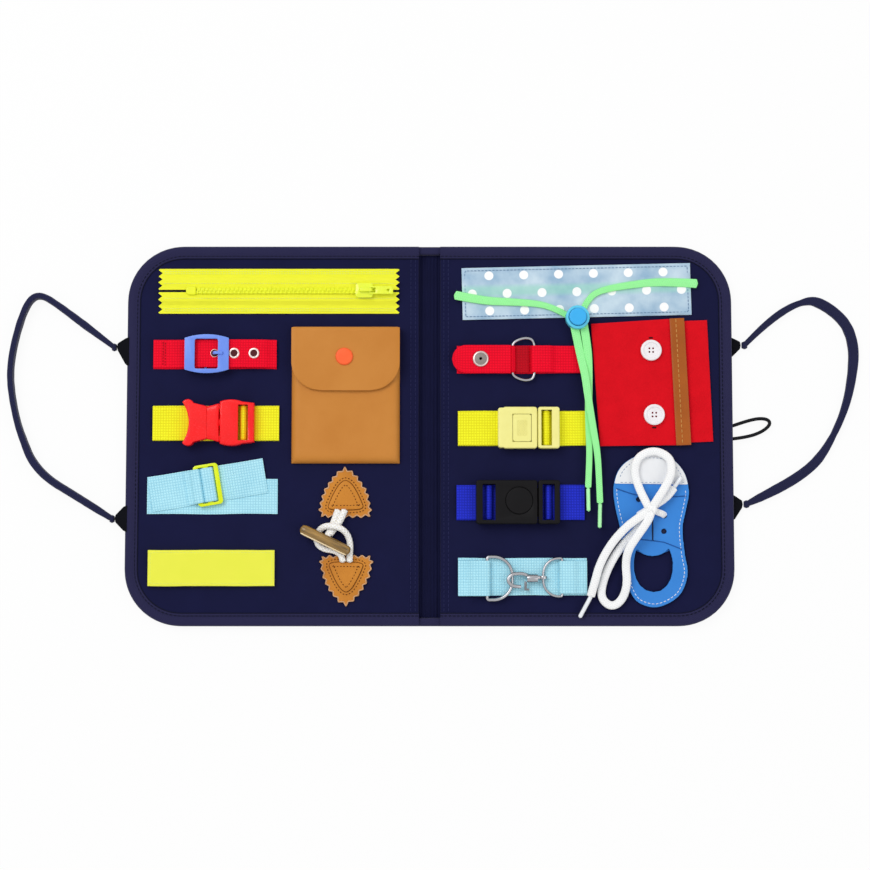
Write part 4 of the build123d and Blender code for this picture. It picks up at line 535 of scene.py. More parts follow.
def loop_through(points: Route, count: int = 12) -> Points:
    """A closed smooth curve through points: the cubic whose slope at each is half its neighbours' chord."""
    p = np.array(points, float)
    before, after, beyond = np.roll(p, 1, axis=0), np.roll(p, -1, axis=0), np.roll(p, -2, axis=0)
    t = np.linspace(0, 1, count, endpoint=False)[None, :, None]
    a, b, c, d = (q[:, None, :] for q in (before, p, after, beyond))
    curve = 0.5 * (2 * b + (c - a) * t + (2 * a - 5 * b + 4 * c - d) * t**2 + (3 * b - a - 3 * c + d) * t**3)
    return curve.reshape(-1, p.shape[1])


def ripple(x: Points, y: Points, size: float, seed: int) -> Points:
    """A smooth random field from -1 to 1: five sines of random direction whose wavelengths are about size."""
    rng = np.random.default_rng(seed)
    total = np.zeros(np.broadcast(x, y).shape)
    for angle, phase, stretch in zip(rng.uniform(0, math.pi, 5), rng.uniform(0, 2 * math.pi, 5),
                                     rng.uniform(0.7, 1.5, 5)):
        wave = (x * math.cos(angle) + y * math.sin(angle)) * 2 * math.pi / (size * stretch)
        total = total + np.sin(wave + phase)
    return total / 5


def full_turn(count: int) -> Points:
    """Even angles all round."""
    return np.linspace(0, 2 * math.pi, count, endpoint=False)


def soft_box(width: float, height: float, count: int = 20, power: float = 0.3) -> Points:
    """A closed cross-section: the superellipse whose cosine and sine are raised to power."""
    angle = full_turn(count) + math.pi / count
    c, s = np.cos(angle), np.sin(angle)
    return np.stack([np.sign(c) * np.abs(c) ** power * width / 2,
                     np.sign(s) * np.abs(s) ** power * height / 2], axis=1)


def ring_shape(radius: float, count: int = 12) -> Points:
    """A round cross-section."""
    return soft_box(2 * radius, 2 * radius, count, 1.0)


def carry(path: Points, profile: Points, across: Points | None = None, blunt: float = 0.0) -> Surface:
    """Carries a closed profile along a path, from its first point to its last.

    The profile is the side and the height of each of its points, the same all along or one set for each point
    of the path. The side direction is across, or else level and square to the path. Both ends round off over
    the length blunt. The chart is the surface's length and girth.
    """
    way = np.gradient(path, axis=0)
    way /= np.linalg.norm(way, axis=1, keepdims=True)
    side = np.cross((0, 0, 1), way) if across is None else np.broadcast_to(np.array(across, float), way.shape)
    side = side / np.linalg.norm(side, axis=1, keepdims=True)
    rise = np.cross(way, side)
    shape = np.broadcast_to(profile, (len(path), *profile.shape[-2:])).copy()
    along = lengths(path)
    if blunt:
        near = np.clip(np.minimum(along, along[-1] - along) / blunt, 0.02, 1)
        shape *= np.sqrt(1 - (1 - near) ** 2)[:, None, None]
    points = path[:, None] + side[:, None] * shape[..., :1] + rise[:, None] * shape[..., 1:]
    rows, columns = shape.shape[:2]
    quads, corners = lattice(rows, columns)
    girth = lengths(np.vstack([shape[rows // 2], shape[rows // 2][:1]]))
    chart = np.stack([along[corners[..., 0]], girth[corners[..., 1]]], axis=-1).reshape(-1, 2)
    first, last = tuple(range(columns)), tuple(range((rows - 1) * columns, rows * columns))
    ends = np.vstack([np.stack([np.full(columns, along[0]), girth[:-1]], axis=1),
                      np.stack([np.full(columns, along[-1]), girth[:-1]], axis=1)])
    return Surface(points.reshape(-1, 3), [tuple(q) for q in quads.tolist()] + [first[::-1], last],
                   np.vstack([chart, ends]) * MM)


def pad(outline: Points, low: float, high: float, rim: float = 0.6, rings: int = 14,
        crown: float = 0.0, wrinkle: float = 0.0, size: float = 30.0, seed: int = 1) -> Surface:
    """A soft slab over an outline: rings shrink towards its middle, and the rim turns on a quarter circle.

    Its upper side is at high along the rim's inner edge and rises by crown to its middle. A ripple of
    wavelength size lowers it by up to wrinkle. The chart is its plan.
    """
    middle = outline.mean(axis=0)
    reach = np.linalg.norm(outline - middle, axis=1)
    turn = np.linspace(0, math.pi / 2, 5)
    inset = np.concatenate([[rim], rim * (1 - np.sin(turn[1:])), rim * (1 - np.cos(turn))[1:]])
    level = np.concatenate([[low], low + rim * (1 - np.cos(turn[1:])), high - rim * (1 - np.sin(turn[1:]))])
    share = np.linspace(1, 0, rings + 1)[1:-1]
    edge = 1 - inset[:, None] / reach[None, :]
    inner = edge[-1][None, :] * share[:, None]
    under = edge[0][None, :] * share[::-1][:, None]
    scale = np.vstack([under, edge, inner])
    height = np.concatenate([np.full(len(under), low), level, np.full(len(inner), high)])
    flat = middle + (outline - middle)[None] * scale[..., None]
    z = np.broadcast_to(height[:, None], scale.shape).copy()
    top = slice(len(under) + len(edge) - 1, None)
    bulge = np.sin(np.clip(1 - scale[top] ** 4, 0, 1) * math.pi / 2)
    z[top] += crown * bulge - wrinkle * (0.5 + 0.5 * ripple(flat[top][..., 0], flat[top][..., 1], size, seed))
    points = np.concatenate([flat, z[..., None]], axis=-1).reshape(-1, 3)
    rows, columns = scale.shape
    quads, _ = lattice(rows, columns)
    points = np.vstack([points, [*middle, low], [*middle, points[(rows - 1) * columns:, 2].mean()]])
    faces = [tuple(face) for part in (quads, *fans(rows, columns)) for face in part.tolist()]
    return Surface(points, faces, points[np.concatenate(faces)][:, :2] * MM)


def seams(rows: Sequence[Points], pitch: float, length: float, radius: float) -> Surface:
    """Stitches along paths: six-sided beads, thinner at both ends, one at each pitch."""
    starts, ways = [], []
    for path in rows:
        along = lengths(path)
        places = np.arange(pitch / 2, along[-1], pitch)
        ends = [np.stack([np.interp(places + shift, along, path[:, k]) for k in range(3)], axis=1)
                for shift in (-length / 2, length / 2)]
        starts.append((ends[0] + ends[1]) / 2)
        ways.append((ends[1] - ends[0]) / np.linalg.norm(ends[1] - ends[0], axis=1, keepdims=True))
    middle, way = np.vstack(starts), np.vstack(ways)
    side = np.cross((0, 0, 1), way)
    side /= np.linalg.norm(side, axis=1, keepdims=True)
    rise = np.cross(way, side)
    x = np.array([-0.5, -0.36, 0.36, 0.5]) * length
    size = np.array([0.35, 1, 1, 0.35]) * radius
    rings, sides = len(x), 6
    angle = full_turn(sides)
    bead = (middle[:, None, None] + way[:, None, None] * x[None, :, None, None]
            + side[:, None, None] * (size[:, None] * np.cos(angle))[None, ..., None]
            + rise[:, None, None] * (size[:, None] * np.sin(angle))[None, ..., None])
    quads, _ = lattice(rings, sides)
    count = rings * sides
    shift = np.arange(len(middle))[:, None, None] * count
    faces = [tuple(q) for q in (quads[None] + shift).reshape(-1, 4).tolist()]
    caps = np.array([range(sides)[::-1], range(count - sides, count)])
    faces += [tuple(c) for c in (caps[None] + shift).reshape(-1, sides).tolist()]
    total = len(middle) * (quads.size + caps.size)
    return Surface(bead.reshape(-1, 3), faces, np.zeros((total, 2)))


def facing_out(surface: Surface) -> bool:
    """True where the enclosed volume, summed over triangle fans, is positive."""
    total = 0.0
    for size in {len(face) for face in surface.faces}:
        group = surface.points[np.array([face for face in surface.faces if len(face) == size])]
        for k in range(1, size - 1):
            total += np.einsum("ij,ij->i", group[:, 0], np.cross(group[:, k], group[:, k + 1])).sum()
    return total > 0


def placed(name: str, data: bpy.types.ID) -> Piece:
    """A new object in the scene."""
    made = bpy.data.objects.new(name, data)
    bpy.context.scene.collection.objects.link(made)
    return made


def baked(piece: Piece) -> bpy.types.Mesh:
    """A piece's mesh as its modifiers leave it."""
    graph = bpy.context.evaluated_depsgraph_get()
    return bpy.data.meshes.new_from_object(piece.evaluated_get(graph), depsgraph=graph)


def finish_piece(piece: Piece, finish: Finish, body: str, nodes: Sequence[str] = (),
                 angle: float = 42.0) -> Piece:
    """Gives a piece its material, its body and the CAD nodes that it stands for."""
    piece.data.materials.clear()
    piece.data.materials.append(finish.material())
    piece.data.shade_smooth()
    piece.data.set_sharp_from_angle(angle=math.radians(angle))
    if body:
        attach(piece, body)
    if nodes:
        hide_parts(*nodes)
    LOG.info("%s: %d faces on %s", piece.name, len(piece.data.polygons), body)
    return piece


def make_mesh(name: str, surface: Surface) -> Piece:
    """Makes an object at the origin from a surface, with its faces pointing out and its chart as UV map."""
    mesh = bpy.data.meshes.new(name)
    mesh.from_pydata((surface.points * MM).tolist(), [], surface.faces)
    chart = mesh.uv_layers.new(name="cloth")
    chart.data.foreach_set("uv", surface.chart.astype(np.float32).ravel())
    if not facing_out(surface):
        mesh.flip_normals()
    mesh.update()
    return placed(name, mesh)


def build(name: str, surface: Surface, finish: Finish, body: str, nodes: Sequence[str] = (),
          angle: float = 42.0) -> Piece:
    """Makes a finished piece from a surface."""
    return finish_piece(make_mesh(name, surface), finish, body, nodes, angle)


def settle(piece: Piece) -> None:
    """Bakes a piece's modifiers into its mesh."""
    mesh = baked(piece)
    piece.modifiers.clear()
    piece.data = mesh


def hard_piece(name: str, node: str, finish: Finish, edge: float = 0.3,
               inside: tuple[Triple, Triple] | None = None) -> Piece:
    """A moulded or plated piece: a merged copy of its node, with a mould's radius on every edge.

    Where inside is given, it keeps only what lies between those two corners. Its body is its node's.
    """
    source = frame["nodes"][node]
    mesh = source.data.copy()
    form = bmesh.new()
    form.from_mesh(mesh)
    bmesh.ops.remove_doubles(form, verts=form.verts, dist=2e-6)
    if inside:
        low, high = inside
        out = [v for v in form.verts if any(not low[k] <= v.co[k] / MM <= high[k] for k in range(3))]
        bmesh.ops.delete(form, geom=out, context="VERTS")
    bmesh.ops.dissolve_limit(form, angle_limit=math.radians(0.8), verts=form.verts, edges=form.edges)
    form.to_mesh(mesh)
    form.free()
    piece = placed(name, mesh)
    bevel = piece.modifiers.new("edge", "BEVEL")
    bevel.width = edge * MM
    bevel.segments = 2
    bevel.limit_method = "ANGLE"
    bevel.angle_limit = math.radians(38)
    settle(piece)
    return finish_piece(piece, finish, source["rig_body"], [node])


def cutout(name: str, loops: Sequence[Points], low: float, high: float) -> Piece:
    """A flat, unfinished piece with holes: the first loop is its outline, the others are cut out."""
    form = bmesh.new()
    rims = []
    for loop in loops:
        rim = [form.verts.new((*(place * MM), low * MM)) for place in loop]
        rims += [form.edges.new(pair) for pair in zip(rim, rim[1:] + rim[:1])]
    bmesh.ops.triangle_fill(form, edges=rims, use_beauty=True, normal=(0, 0, 1))
    raised = bmesh.ops.extrude_face_region(form, geom=form.faces[:], use_keep_orig=True)["geom"]
    lifted = [item for item in raised if isinstance(item, bmesh.types.BMVert)]
    bmesh.ops.translate(form, verts=lifted, vec=(0, 0, (high - low) * MM))
    bmesh.ops.recalc_face_normals(form, faces=form.faces)
    mesh = bpy.data.meshes.new(name)
    form.to_mesh(mesh)
    form.free()
    return placed(name, mesh)


def soften(piece: Piece, grid: float, wrinkle: float, size: float, seed: int) -> None:
    """Gives a flat cut piece an even fine mesh with faces of side grid, worn edges, and a shallow ripple.

    The ripple has wavelength size and lowers the upper side by up to wrinkle.
    """
    remesh = piece.modifiers.new("grid", "REMESH")
    remesh.mode = "VOXEL"
    remesh.voxel_size = grid * MM
    even = piece.modifiers.new("even", "SMOOTH")
    even.iterations = 2
    settle(piece)
    mesh = piece.data
    places = np.empty(len(mesh.vertices) * 3, np.float32)
    mesh.vertices.foreach_get("co", places)
    p = places.reshape(-1, 3) / MM
    low, high = p[:, 2].min(), p[:, 2].max()
    share = np.clip((p[:, 2] - low) / (high - low), 0, 1)
    p[:, 2] -= share * wrinkle * (0.5 + 0.5 * ripple(p[:, 0], p[:, 1], size, seed))
    mesh.vertices.foreach_set("co", (p * MM).astype(np.float32).ravel())
    mesh.update()


def smooth_line(name: str, points: Route, step: float = 1.0) -> Points:
    """The points of a cord's own NURBS line, whose control points are its route, evenly spaced."""
    curve = bpy.data.curves.new(name, "CURVE")
    curve.dimensions = "3D"
    curve.resolution_u = 24
    spline = curve.splines.new("NURBS")
    spline.points.add(len(points) - 1)
    places = np.concatenate([np.array(points, float) * MM, np.ones((len(points), 1))], axis=1)
    spline.points.foreach_set("co", places.astype(np.float32).ravel())
    spline.order_u = 3
    spline.use_endpoint_u = True
    holder = placed(name, curve)
    mesh = baked(holder)
    found = np.empty(len(mesh.vertices) * 3, np.float32)
    mesh.vertices.foreach_get("co", found)
    bpy.data.objects.remove(holder)
    bpy.data.meshes.remove(mesh)
    return resample(found.reshape(-1, 3).astype(float) / MM, step)


def lay_cord(name: str, points: Route, profile: Points, finish: Finish, body: str, node: str,
             narrow: float = 1.0) -> Piece:
    """The route starts where it leaves the object. The width is its diameter, or its width if it is flat, and
    narrow is the share of it that is left at its far end, where it is drawn together.
    """
    line = smooth_line(name, points)
    share = lengths(line) / lengths(line)[-1]
    size = np.interp(share, (0.0, 0.35, 0.8), (1.0, (2 + narrow) / 3, narrow))
    shape = profile[None] * np.stack([size, np.ones_like(size)], axis=1)[:, None]
    cord = build(name, carry(line, shape if narrow < 1 else profile, blunt=0.3), finish, body,
                 [node], 60.0)
    return cord


def rectangle(low: Pair, high: Pair, radii: Sequence[float], step: float = 6.0) -> Points:
    """A closed counter-clockwise rectangle whose corners are quarter circles.

    The radii are those at lower left, lower right, upper right and upper left.
    """
    turn = np.linspace(0, math.pi / 2, 9)
    corners = [(low[0], low[1], 1, 1, math.pi), (high[0], low[1], -1, 1, 1.5 * math.pi),
               (high[0], high[1], -1, -1, 0.0), (low[0], high[1], 1, -1, 0.5 * math.pi)]
    arcs = []
    for (x, y, right, up, start), radius in zip(corners, radii):
        radius = max(radius, 0.05)
        arcs.append(np.stack([x + right * radius + radius * np.cos(start + turn),
                              y + up * radius + radius * np.sin(start + turn)], axis=1))
    runs = []
    for arc, after in zip(arcs, arcs[1:] + arcs[:1]):
        count = max(2, int(np.linalg.norm(after[0] - arc[-1]) / step))
        share = np.linspace(0, 1, count + 1)[1:-1, None]
        runs += [arc, arc[-1] * (1 - share) + after[0] * share]
    return np.vstack(runs)


def turned_about(loop: Points, middle: Pair, degrees: float) -> Points:
    """A flat outline turned about a point."""
    return np.stack(rotated(*(loop - middle).T, degrees), axis=1) + middle


def circle(middle: Pair, radius: float, count: int = 24) -> Points:
    """A closed round outline."""
    angle = full_turn(count)
    return np.stack([middle[0] + radius * np.cos(angle), middle[1] + radius * np.sin(angle)], axis=1)


def inset(loop: Points, depth: float) -> Points:
    """A closed counter-clockwise outline moved inwards by depth, square to its sides."""
    way = np.roll(loop, -1, axis=0) - np.roll(loop, 1, axis=0)
    way = way / np.linalg.norm(way, axis=1, keepdims=True)
    return loop + np.stack([-way[:, 1], way[:, 0]], axis=1) * depth


def at_height(path: Points, height: float) -> Points:
    """A flat path as one in space, at one height."""
    return np.concatenate([path, np.full((len(path), 1), height)], axis=1)


def closed(loop: Points, height: float) -> Points:
    """A flat outline as a path in space that ends where it starts."""
    return at_height(np.vstack([loop, loop[:1]]), height)


def line(*places: Triple) -> Points:
    """Straight runs between places, as a path."""
    return np.array(places, float)


def rod(start: Triple, stop: Triple, profile: Points, step: float, blunt: float = 0.0) -> Surface:
    """A straight rod between two places."""
    return carry(resample(line(start, stop), step), profile, blunt=blunt)


def toothed(tips: Points, depth: float) -> Points:
    """Adds the notch between each two tips of a counter-clockwise outline, depth further in than both."""
    after = np.roll(tips, -1, axis=0)
    along = after - tips
    inward = np.column_stack([-along[:, 1], along[:, 0]]) / np.linalg.norm(along, axis=1)[:, None]
    return np.stack([tips, (tips + after) / 2 + depth * inward], axis=1).reshape(-1, 2)


def turned(profile: Sequence[Pair], middle: Pair, count: int = 40) -> Surface:
    """Turns a profile of radius and height round an upright axis; it starts and ends on the axis."""
    shape = np.array(profile, float)
    angle = full_turn(count)
    x = middle[0] + shape[1:-1, :1] * np.cos(angle)
    y = middle[1] + shape[1:-1, :1] * np.sin(angle)
    z = np.broadcast_to(shape[1:-1, 1:], x.shape)
    rows = len(shape) - 2
    points = np.vstack([np.stack([x, y, z], axis=-1).reshape(-1, 3), [*middle, shape[0, 1]],
                        [*middle, shape[-1, 1]]])
    quads, _ = lattice(rows, count)
    faces = [tuple(face) for part in (quads, *fans(rows, count)) for face in part.tolist()]
    return Surface(points, faces, points[np.concatenate(faces)][:, :2] * MM)


def slab(x: Points, y: Points, low: Points | float, high: Points | float, edge: float = 0.2,
         chart: Points | None = None) -> Surface:
    """A closed sheet over a grid of places, with its rim chamfered by edge.

    Its two sides are at low and high, one height or a grid of them. The chart is the cloth's own map, or else
    its plan.
    """
    rows, columns = x.shape
    low = np.broadcast_to(low, x.shape).astype(float).copy()
    high = np.broadcast_to(high, x.shape).astype(float).copy()
    for side in (np.s_[0, :], np.s_[-1, :], np.s_[:, 0], np.s_[:, -1]):
        high[side] -= edge
        low[side] += edge
    points = np.vstack([np.stack([x, y, high], axis=-1).reshape(-1, 3),
                        np.stack([x, y, low], axis=-1).reshape(-1, 3)])
    number = np.arange(rows * columns).reshape(rows, columns)
    top = np.stack([number[:-1, :-1], number[1:, :-1], number[1:, 1:], number[:-1, 1:]],
                   axis=-1).reshape(-1, 4)
    rim = np.concatenate([number[0, :-1], number[:-1, -1], number[-1, :0:-1], number[:0:-1, 0]])
    after = np.roll(rim, -1)
    half = rows * columns
    walls = np.stack([rim, after, after + half, rim + half], axis=1)
    faces = np.concatenate([top, top[:, ::-1] + half, walls])
    place = (np.stack([x, y], axis=-1) if chart is None else chart).reshape(-1, 2)
    return Surface(points, [tuple(f) for f in faces.tolist()], np.vstack([place, place])[faces.ravel()] * MM)


def spread(low: float, high: float, step: float, edge: float = 0.3) -> Points:
    """Even places from low to high, with one more close to each end for the rim."""
    count = max(3, int(round((high - low) / step)) + 1)
    return np.concatenate([[low], np.linspace(low + edge, high - edge, count), [high]])


def patch(corners: Sequence[Pair], low: float, high: float, step: float = 1.5, wrinkle: float = 0.2,
          size: float = 25.0, seed: int = 1) -> Surface:
    """A flat four-cornered cloth: places are blended from its corners, and its upper side ripples.

    The corners are upper left, upper right, lower right and lower left. The ripple has wavelength size and
    depth wrinkle.
    """
    a, b, c, d = (np.array(p, float) for p in corners)
    across = np.linalg.norm(b - a)
    down = np.linalg.norm(d - a)
    u = spread(0, across, step)[None, :, None] / across
    v = spread(0, down, step)[:, None, None] / down
    places = (a * (1 - u) + b * u) * (1 - v) + (d * (1 - u) + c * u) * v
    x, y = places[..., 0], places[..., 1]
    return slab(x, y, low, high - wrinkle * (0.5 + 0.5 * ripple(x, y, size, seed)))


def strap_base(x: Pair, y: float, width: float, low: float = TOP, high: float = TOP + 1.0,
               seed: int = 1, turn: float = 0.0, about: Pair = (0.0, 0.0)) -> Surface:
    """A sewn length of webbing, flat on its bed, whose edges waver by a few tenths of a millimetre."""
    along = spread(x[0], x[1], 2.0)
    side = np.concatenate([[-0.5, -0.485], np.linspace(-0.46, 0.46, 9), [0.485, 0.5]])
    across = np.broadcast_to(along[None, :], (len(side), len(along)))
    up = side[:, None] * (width + 0.35 * ripple(along[None, :], side[:, None] * 0, 30.0, seed))
    up = up + 0.25 * ripple(along[None, :] + 7, side[:, None] * 0, 45.0, seed + 1)
    chart = np.stack([across, up], axis=-1)
    top = high - 0.12 * (0.5 + 0.5 * ripple(across, up, 18.0, seed + 2)) \
        - 0.1 * (np.abs(side[:, None]) > 0.48)
    px, py = rotated(across, up, turn)
    return slab(about[0] + px, about[1] + y + py, low, top, 0.15, chart)


def strap(route: Points, middle: float, width: float, thick: float = 1.0, turn: float = 0.0,
          about: Pair = (0.0, 0.0), seed: int = 1) -> Surface:
    """Webbing carried along a line of X and Z, with rounded selvedges and a slight waver."""
    path = np.stack([route[:, 0], np.full(len(route), middle), route[:, 1]], axis=1)
    path = resample(path, 1.0) if len(path) < 40 else path
    side = np.concatenate([np.linspace(-0.47, 0.47, 11), [0.495, 0.5, 0.495]])
    upper = np.stack([side, np.concatenate([np.full(11, 0.5), [0.36, 0.0, -0.36]])], axis=1)
    profile = np.vstack([upper, -upper]) * (width, thick)
    waver = 1 + 0.008 * ripple(path[:, :1], path[:, 2:] * 2, 30.0, seed)
    shape = profile[None] * np.stack([waver, np.ones_like(waver)], axis=-1)
    made = carry(path, shape, (0.0, 1.0, 0.0))
    made.points[:, :2] = np.stack(rotated(*made.points[:, :2].T, turn), axis=1) + about
    return made


@dataclass(frozen=True)
class Fold:
    """A strap sewn at one end and folded round a bar, on a middle line of its own."""

    end: float
    bar: float
    radius: float
    middle: float
    width: float
    turn: float = 180.0  # degrees that it goes round the bar
    back: float = 0.0  # length of its return over the bar's level
    level: float = 8.5  # height of its middle on the base

    def path(self) -> Points:
        """Its line in X and Z: flat to under the bar, round it, and back over itself where it returns."""
        end, bar, level, back = self.end, self.bar, self.level, self.back
        way = 1 if bar > end else -1
        wrap = self.radius + 0.7
        angle = np.radians(np.linspace(-90, self.turn - 90, max(8, int(self.turn / 12))))
        arc = np.stack([bar + way * wrap * np.cos(angle), level + wrap + wrap * np.sin(angle)], axis=1)
        count = max(3, int(abs(bar - end) / 2.0))
        flat = np.stack([np.linspace(end, bar, count)[:-1], np.full(count - 1, level)], axis=1)
        if not back:
            return np.vstack([flat, arc])
        top = level + 2 * wrap
        share = np.linspace(0, 1, 8)[1:]
        drop = top + (level + 0.9 - top) * (0.5 - 0.5 * np.cos(share * math.pi))
        slope = np.stack([bar - way * (back + 6 * share), drop], axis=1)
        rest = bar - way * (back + 6)
        tail = np.stack([np.linspace(rest, end, max(3, int(abs(rest - end) / 2.0)))[1:]] * 2, axis=1)
        tail[:, 1] = level + 0.9
        over = np.array([[bar - way * back, top]])
        return np.vstack([flat, arc, over, slope, tail])

    def made(self, seed: int) -> Surface:
        """The strap."""
        return strap(self.path(), self.middle, self.width, seed=seed)


# ---------------------------------------------------------------- the board
@dataclass
class Covers:
    """The two padded covers, with a stiff board sewn inside each."""

    inner: float = 7.5
    outer: float = 210.5
    half: float = 130.0
    corner: float = 34.0
    pocket: Pair = (-200.0, 3.0)
    pocket_radius: float = 7.3
    pocket_depth: float = 2.6

    def build(self) -> None:
        """Builds both covers and the stitch rows beside the spine."""
        for side, name in ((-1, "left"), (1, "right")):
            cover = self.cover(side, name)
            body = f"{name}_cover"
            finish_piece(cover, NAVY_CLOTH, body, [f"{name}_panel"])
            rows = [line((side * x, -126, TOP + 0.02), (side * x, 126, TOP + 0.02)) for x in (10.2, 13.4)]
            build(f"{name}_spine_stitches", seams(rows, 3.2, 2.3, 0.28), NAVY_THREAD, body)

    def cover(self, side: int, name: str) -> Piece:
        """One cover: a slab with rolled edges; the left one has a round pocket in its back."""
        x = sorted((side * self.inner, side * self.outer))
        radii = (self.corner, 3, 3, self.corner) if side < 0 else (3, self.corner, self.corner, 3)
        outline = rectangle((x[0], -self.half), (x[1], self.half), radii)
        piece = make_mesh(f"{name}_cover_pad", pad(outline, 0.0, TOP, 1.6, 20, 0.0, 0.25, 60.0, 3 + side))
        if side < 0:
            cutter = make_mesh("pocket_cutter", turned([(0, -2), (self.pocket_radius, -2),
                                                        (self.pocket_radius, self.pocket_depth),
                                                        (0, self.pocket_depth)], self.pocket, 32))
            cut = piece.modifiers.new("pocket", "BOOLEAN")
            cut.object = cutter
            settle(piece)
            bpy.data.objects.remove(cutter)
        return piece


@dataclass
class Bindings:
    """The folded twill tape round three sides of each cover, its stitches and the handle gussets."""

    half_width: float = 216.5
    half_height: float = 136.0
    corner: float = 40.0
    inset: float = 3.0
    stitch_inset: float = 7.3
    groove_inset: float = 9.1
    gusset_roots: Pair = (215.0, 217.4)
    gusset_tips: tuple[Pair, Pair] = ((223.2, 8.6), (222.9, 3.6))  # reach and upper level, left and right
    gussets: tuple[Triple, ...] = (  # lower end, upper end and middle: two on the left, then two on the right
        (49.5, 70.2, 63.1), (-69.4, -50.4, -59.9), (56.0, 71.0, 64.9), (-61.1, -42.2, -49.3))

    def edge(self, side: int, inset: float, level: float) -> Points:
        """The path round one cover, that far inside the board's edge: out along one side, round, and back."""
        x, y, r = self.half_width - inset, self.half_height - inset, self.corner - inset
        turn = np.linspace(0, math.pi / 2, 12)
        upper = np.stack([x - r + r * np.sin(turn), y - r + r * np.cos(turn)], axis=1)
        start = np.array([[7.6, y]])
        path = resample(np.vstack([start, upper, upper[::-1] * (1, -1), start * (1, -1)]), 2.5)
        if side < 0:
            path = path[::-1] * (-1, 1)
        return np.concatenate([path, np.full((len(path), 1), level)], axis=1)

    def build(self) -> None:
        """Builds the tape, its stitch row, the painted shadow in its groove and the gussets of both covers.
        """
        roll = np.array([(3, 0), (2.95, -2.2), (2.2, -3.6), (0.8, -4), (-0.8, -4), (-2.4, -3.4), (-3, -2),
                         (-3, 1.2), (-3, 2.95), (-4.4, 2.95), (-5.8, 2.95), (-5.8, 3.4), (-5.4, 3.62),
                         (-4.6, 3.66), (-3.8, 3.5),
                         (-3.1, 3.45), (-2.3, 3.8), (-1, 4.0), (0.8, 4.0), (2.2, 3.55), (2.9, 2.3)], float)
        for side, name in ((-1, "left"), (1, "right")):
            body, slot = f"{name}_cover", "binding_tape"
            path = self.edge(side, self.inset, 4.0)
            pucker = 1 + 0.035 * ripple(path[:, :1], path[:, 1:2], 9.0, 11)
            shape = roll[None] * np.stack([np.ones_like(pucker), np.minimum(pucker, 1.0)], axis=-1)
            build(f"{name}_edge_binding", carry(path, shape), BINDING_TAPE, body, [f"{name}_binding"])
            rows = [self.edge(side, self.stitch_inset, TOP + 0.66)]
            build(f"{name}_binding_stitches", seams(rows, 3.0, 2.1, 0.34), DARK_THREAD_AND_SHADOW, body)
            # painted shadow: a dark line of beads in the groove inside the binding
            groove = [self.edge(side, self.groove_inset, TOP + 0.05)]
            build(f"{name}_binding_shadow_cord", seams(groove, 1.2, 1.6, 0.45), DARK_THREAD_AND_SHADOW, body)
            pairs = self.gussets[:2] if side < 0 else self.gussets[2:]
            root, neck = self.gusset_roots
            tip, level = self.gusset_tips[0 if side < 0 else 1]
            for number, (low, high, middle) in enumerate(pairs):
                outline = np.array([(root, low), (neck, low + 0.8), (tip, middle - 2.6), (tip + 0.5, middle),
                                    (tip, middle + 2.6), (neck, high - 0.8), (root, high)])
                outline = outline if side > 0 else (outline * (-1, 1))[::-1]
                build(f"{name}_handle_gusset_{number}",
                      pad(evened(outline, 1.0), 0.3, level, 0.9, 6, 0.0, 0.4, 7.0, number),
                      GUSSET_CLOTH, body)


@dataclass
class Spine:
    """The cloth between the covers: two halves that meet on its fold."""

    half_width: float = 8.2
    half_height: float = 130.0
    low: float = 0.6
    high: float = 2.6
    ridge_pitch: float = 2.4
    roll_at: Pair = (133.0, 3.1)  # from the middle of the board, and above the ground
    hinge: Pair = (5.4, 8.0)

    def half(self, side: int) -> Surface:
        """Half of the cloth: its upper face has ridges that run up the board."""
        x = np.linspace(0, side * self.half_width, 22)
        y = np.linspace(-self.half_height - 1, self.half_height + 1, 110)
        gx, gy = np.meshgrid(x, y)
        ridge = 0.32 * np.cos(gx * 2 * math.pi / self.ridge_pitch) + 0.25 * ripple(gx * 2, gy * 0.3, 10.0, 5)
        return slab(gx, gy, self.low, self.high - 0.4 + ridge, 0.0)

    def roll(self, side: int, end: int) -> Surface:
        """The half of the binding's roll that runs across the cloth at one end."""
        y, z = self.roll_at
        return rod((0, end * y, z), (side * self.half_width, end * y, z), soft_box(6, 6.2, 16, 0.6), 0.6)

    def build(self) -> None:
        """Builds both halves and the binding rolls at their ends."""
        for side, name in ((-1, "left"), (1, "right")):
            pieces = [build(f"{name}_spine_cloth", self.half(side), SPINE_CLOTH, "",
                            ["spine_fabric"] if side < 0 else [])]
            pieces += [build(f"{name}_spine_roll_{end + 1}", self.roll(side, end), BINDING_TAPE, "")
                       for end in (-1, 1)]
            for piece in pieces:
                if side < 0:
                    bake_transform(piece)
                else:
                    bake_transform(piece)


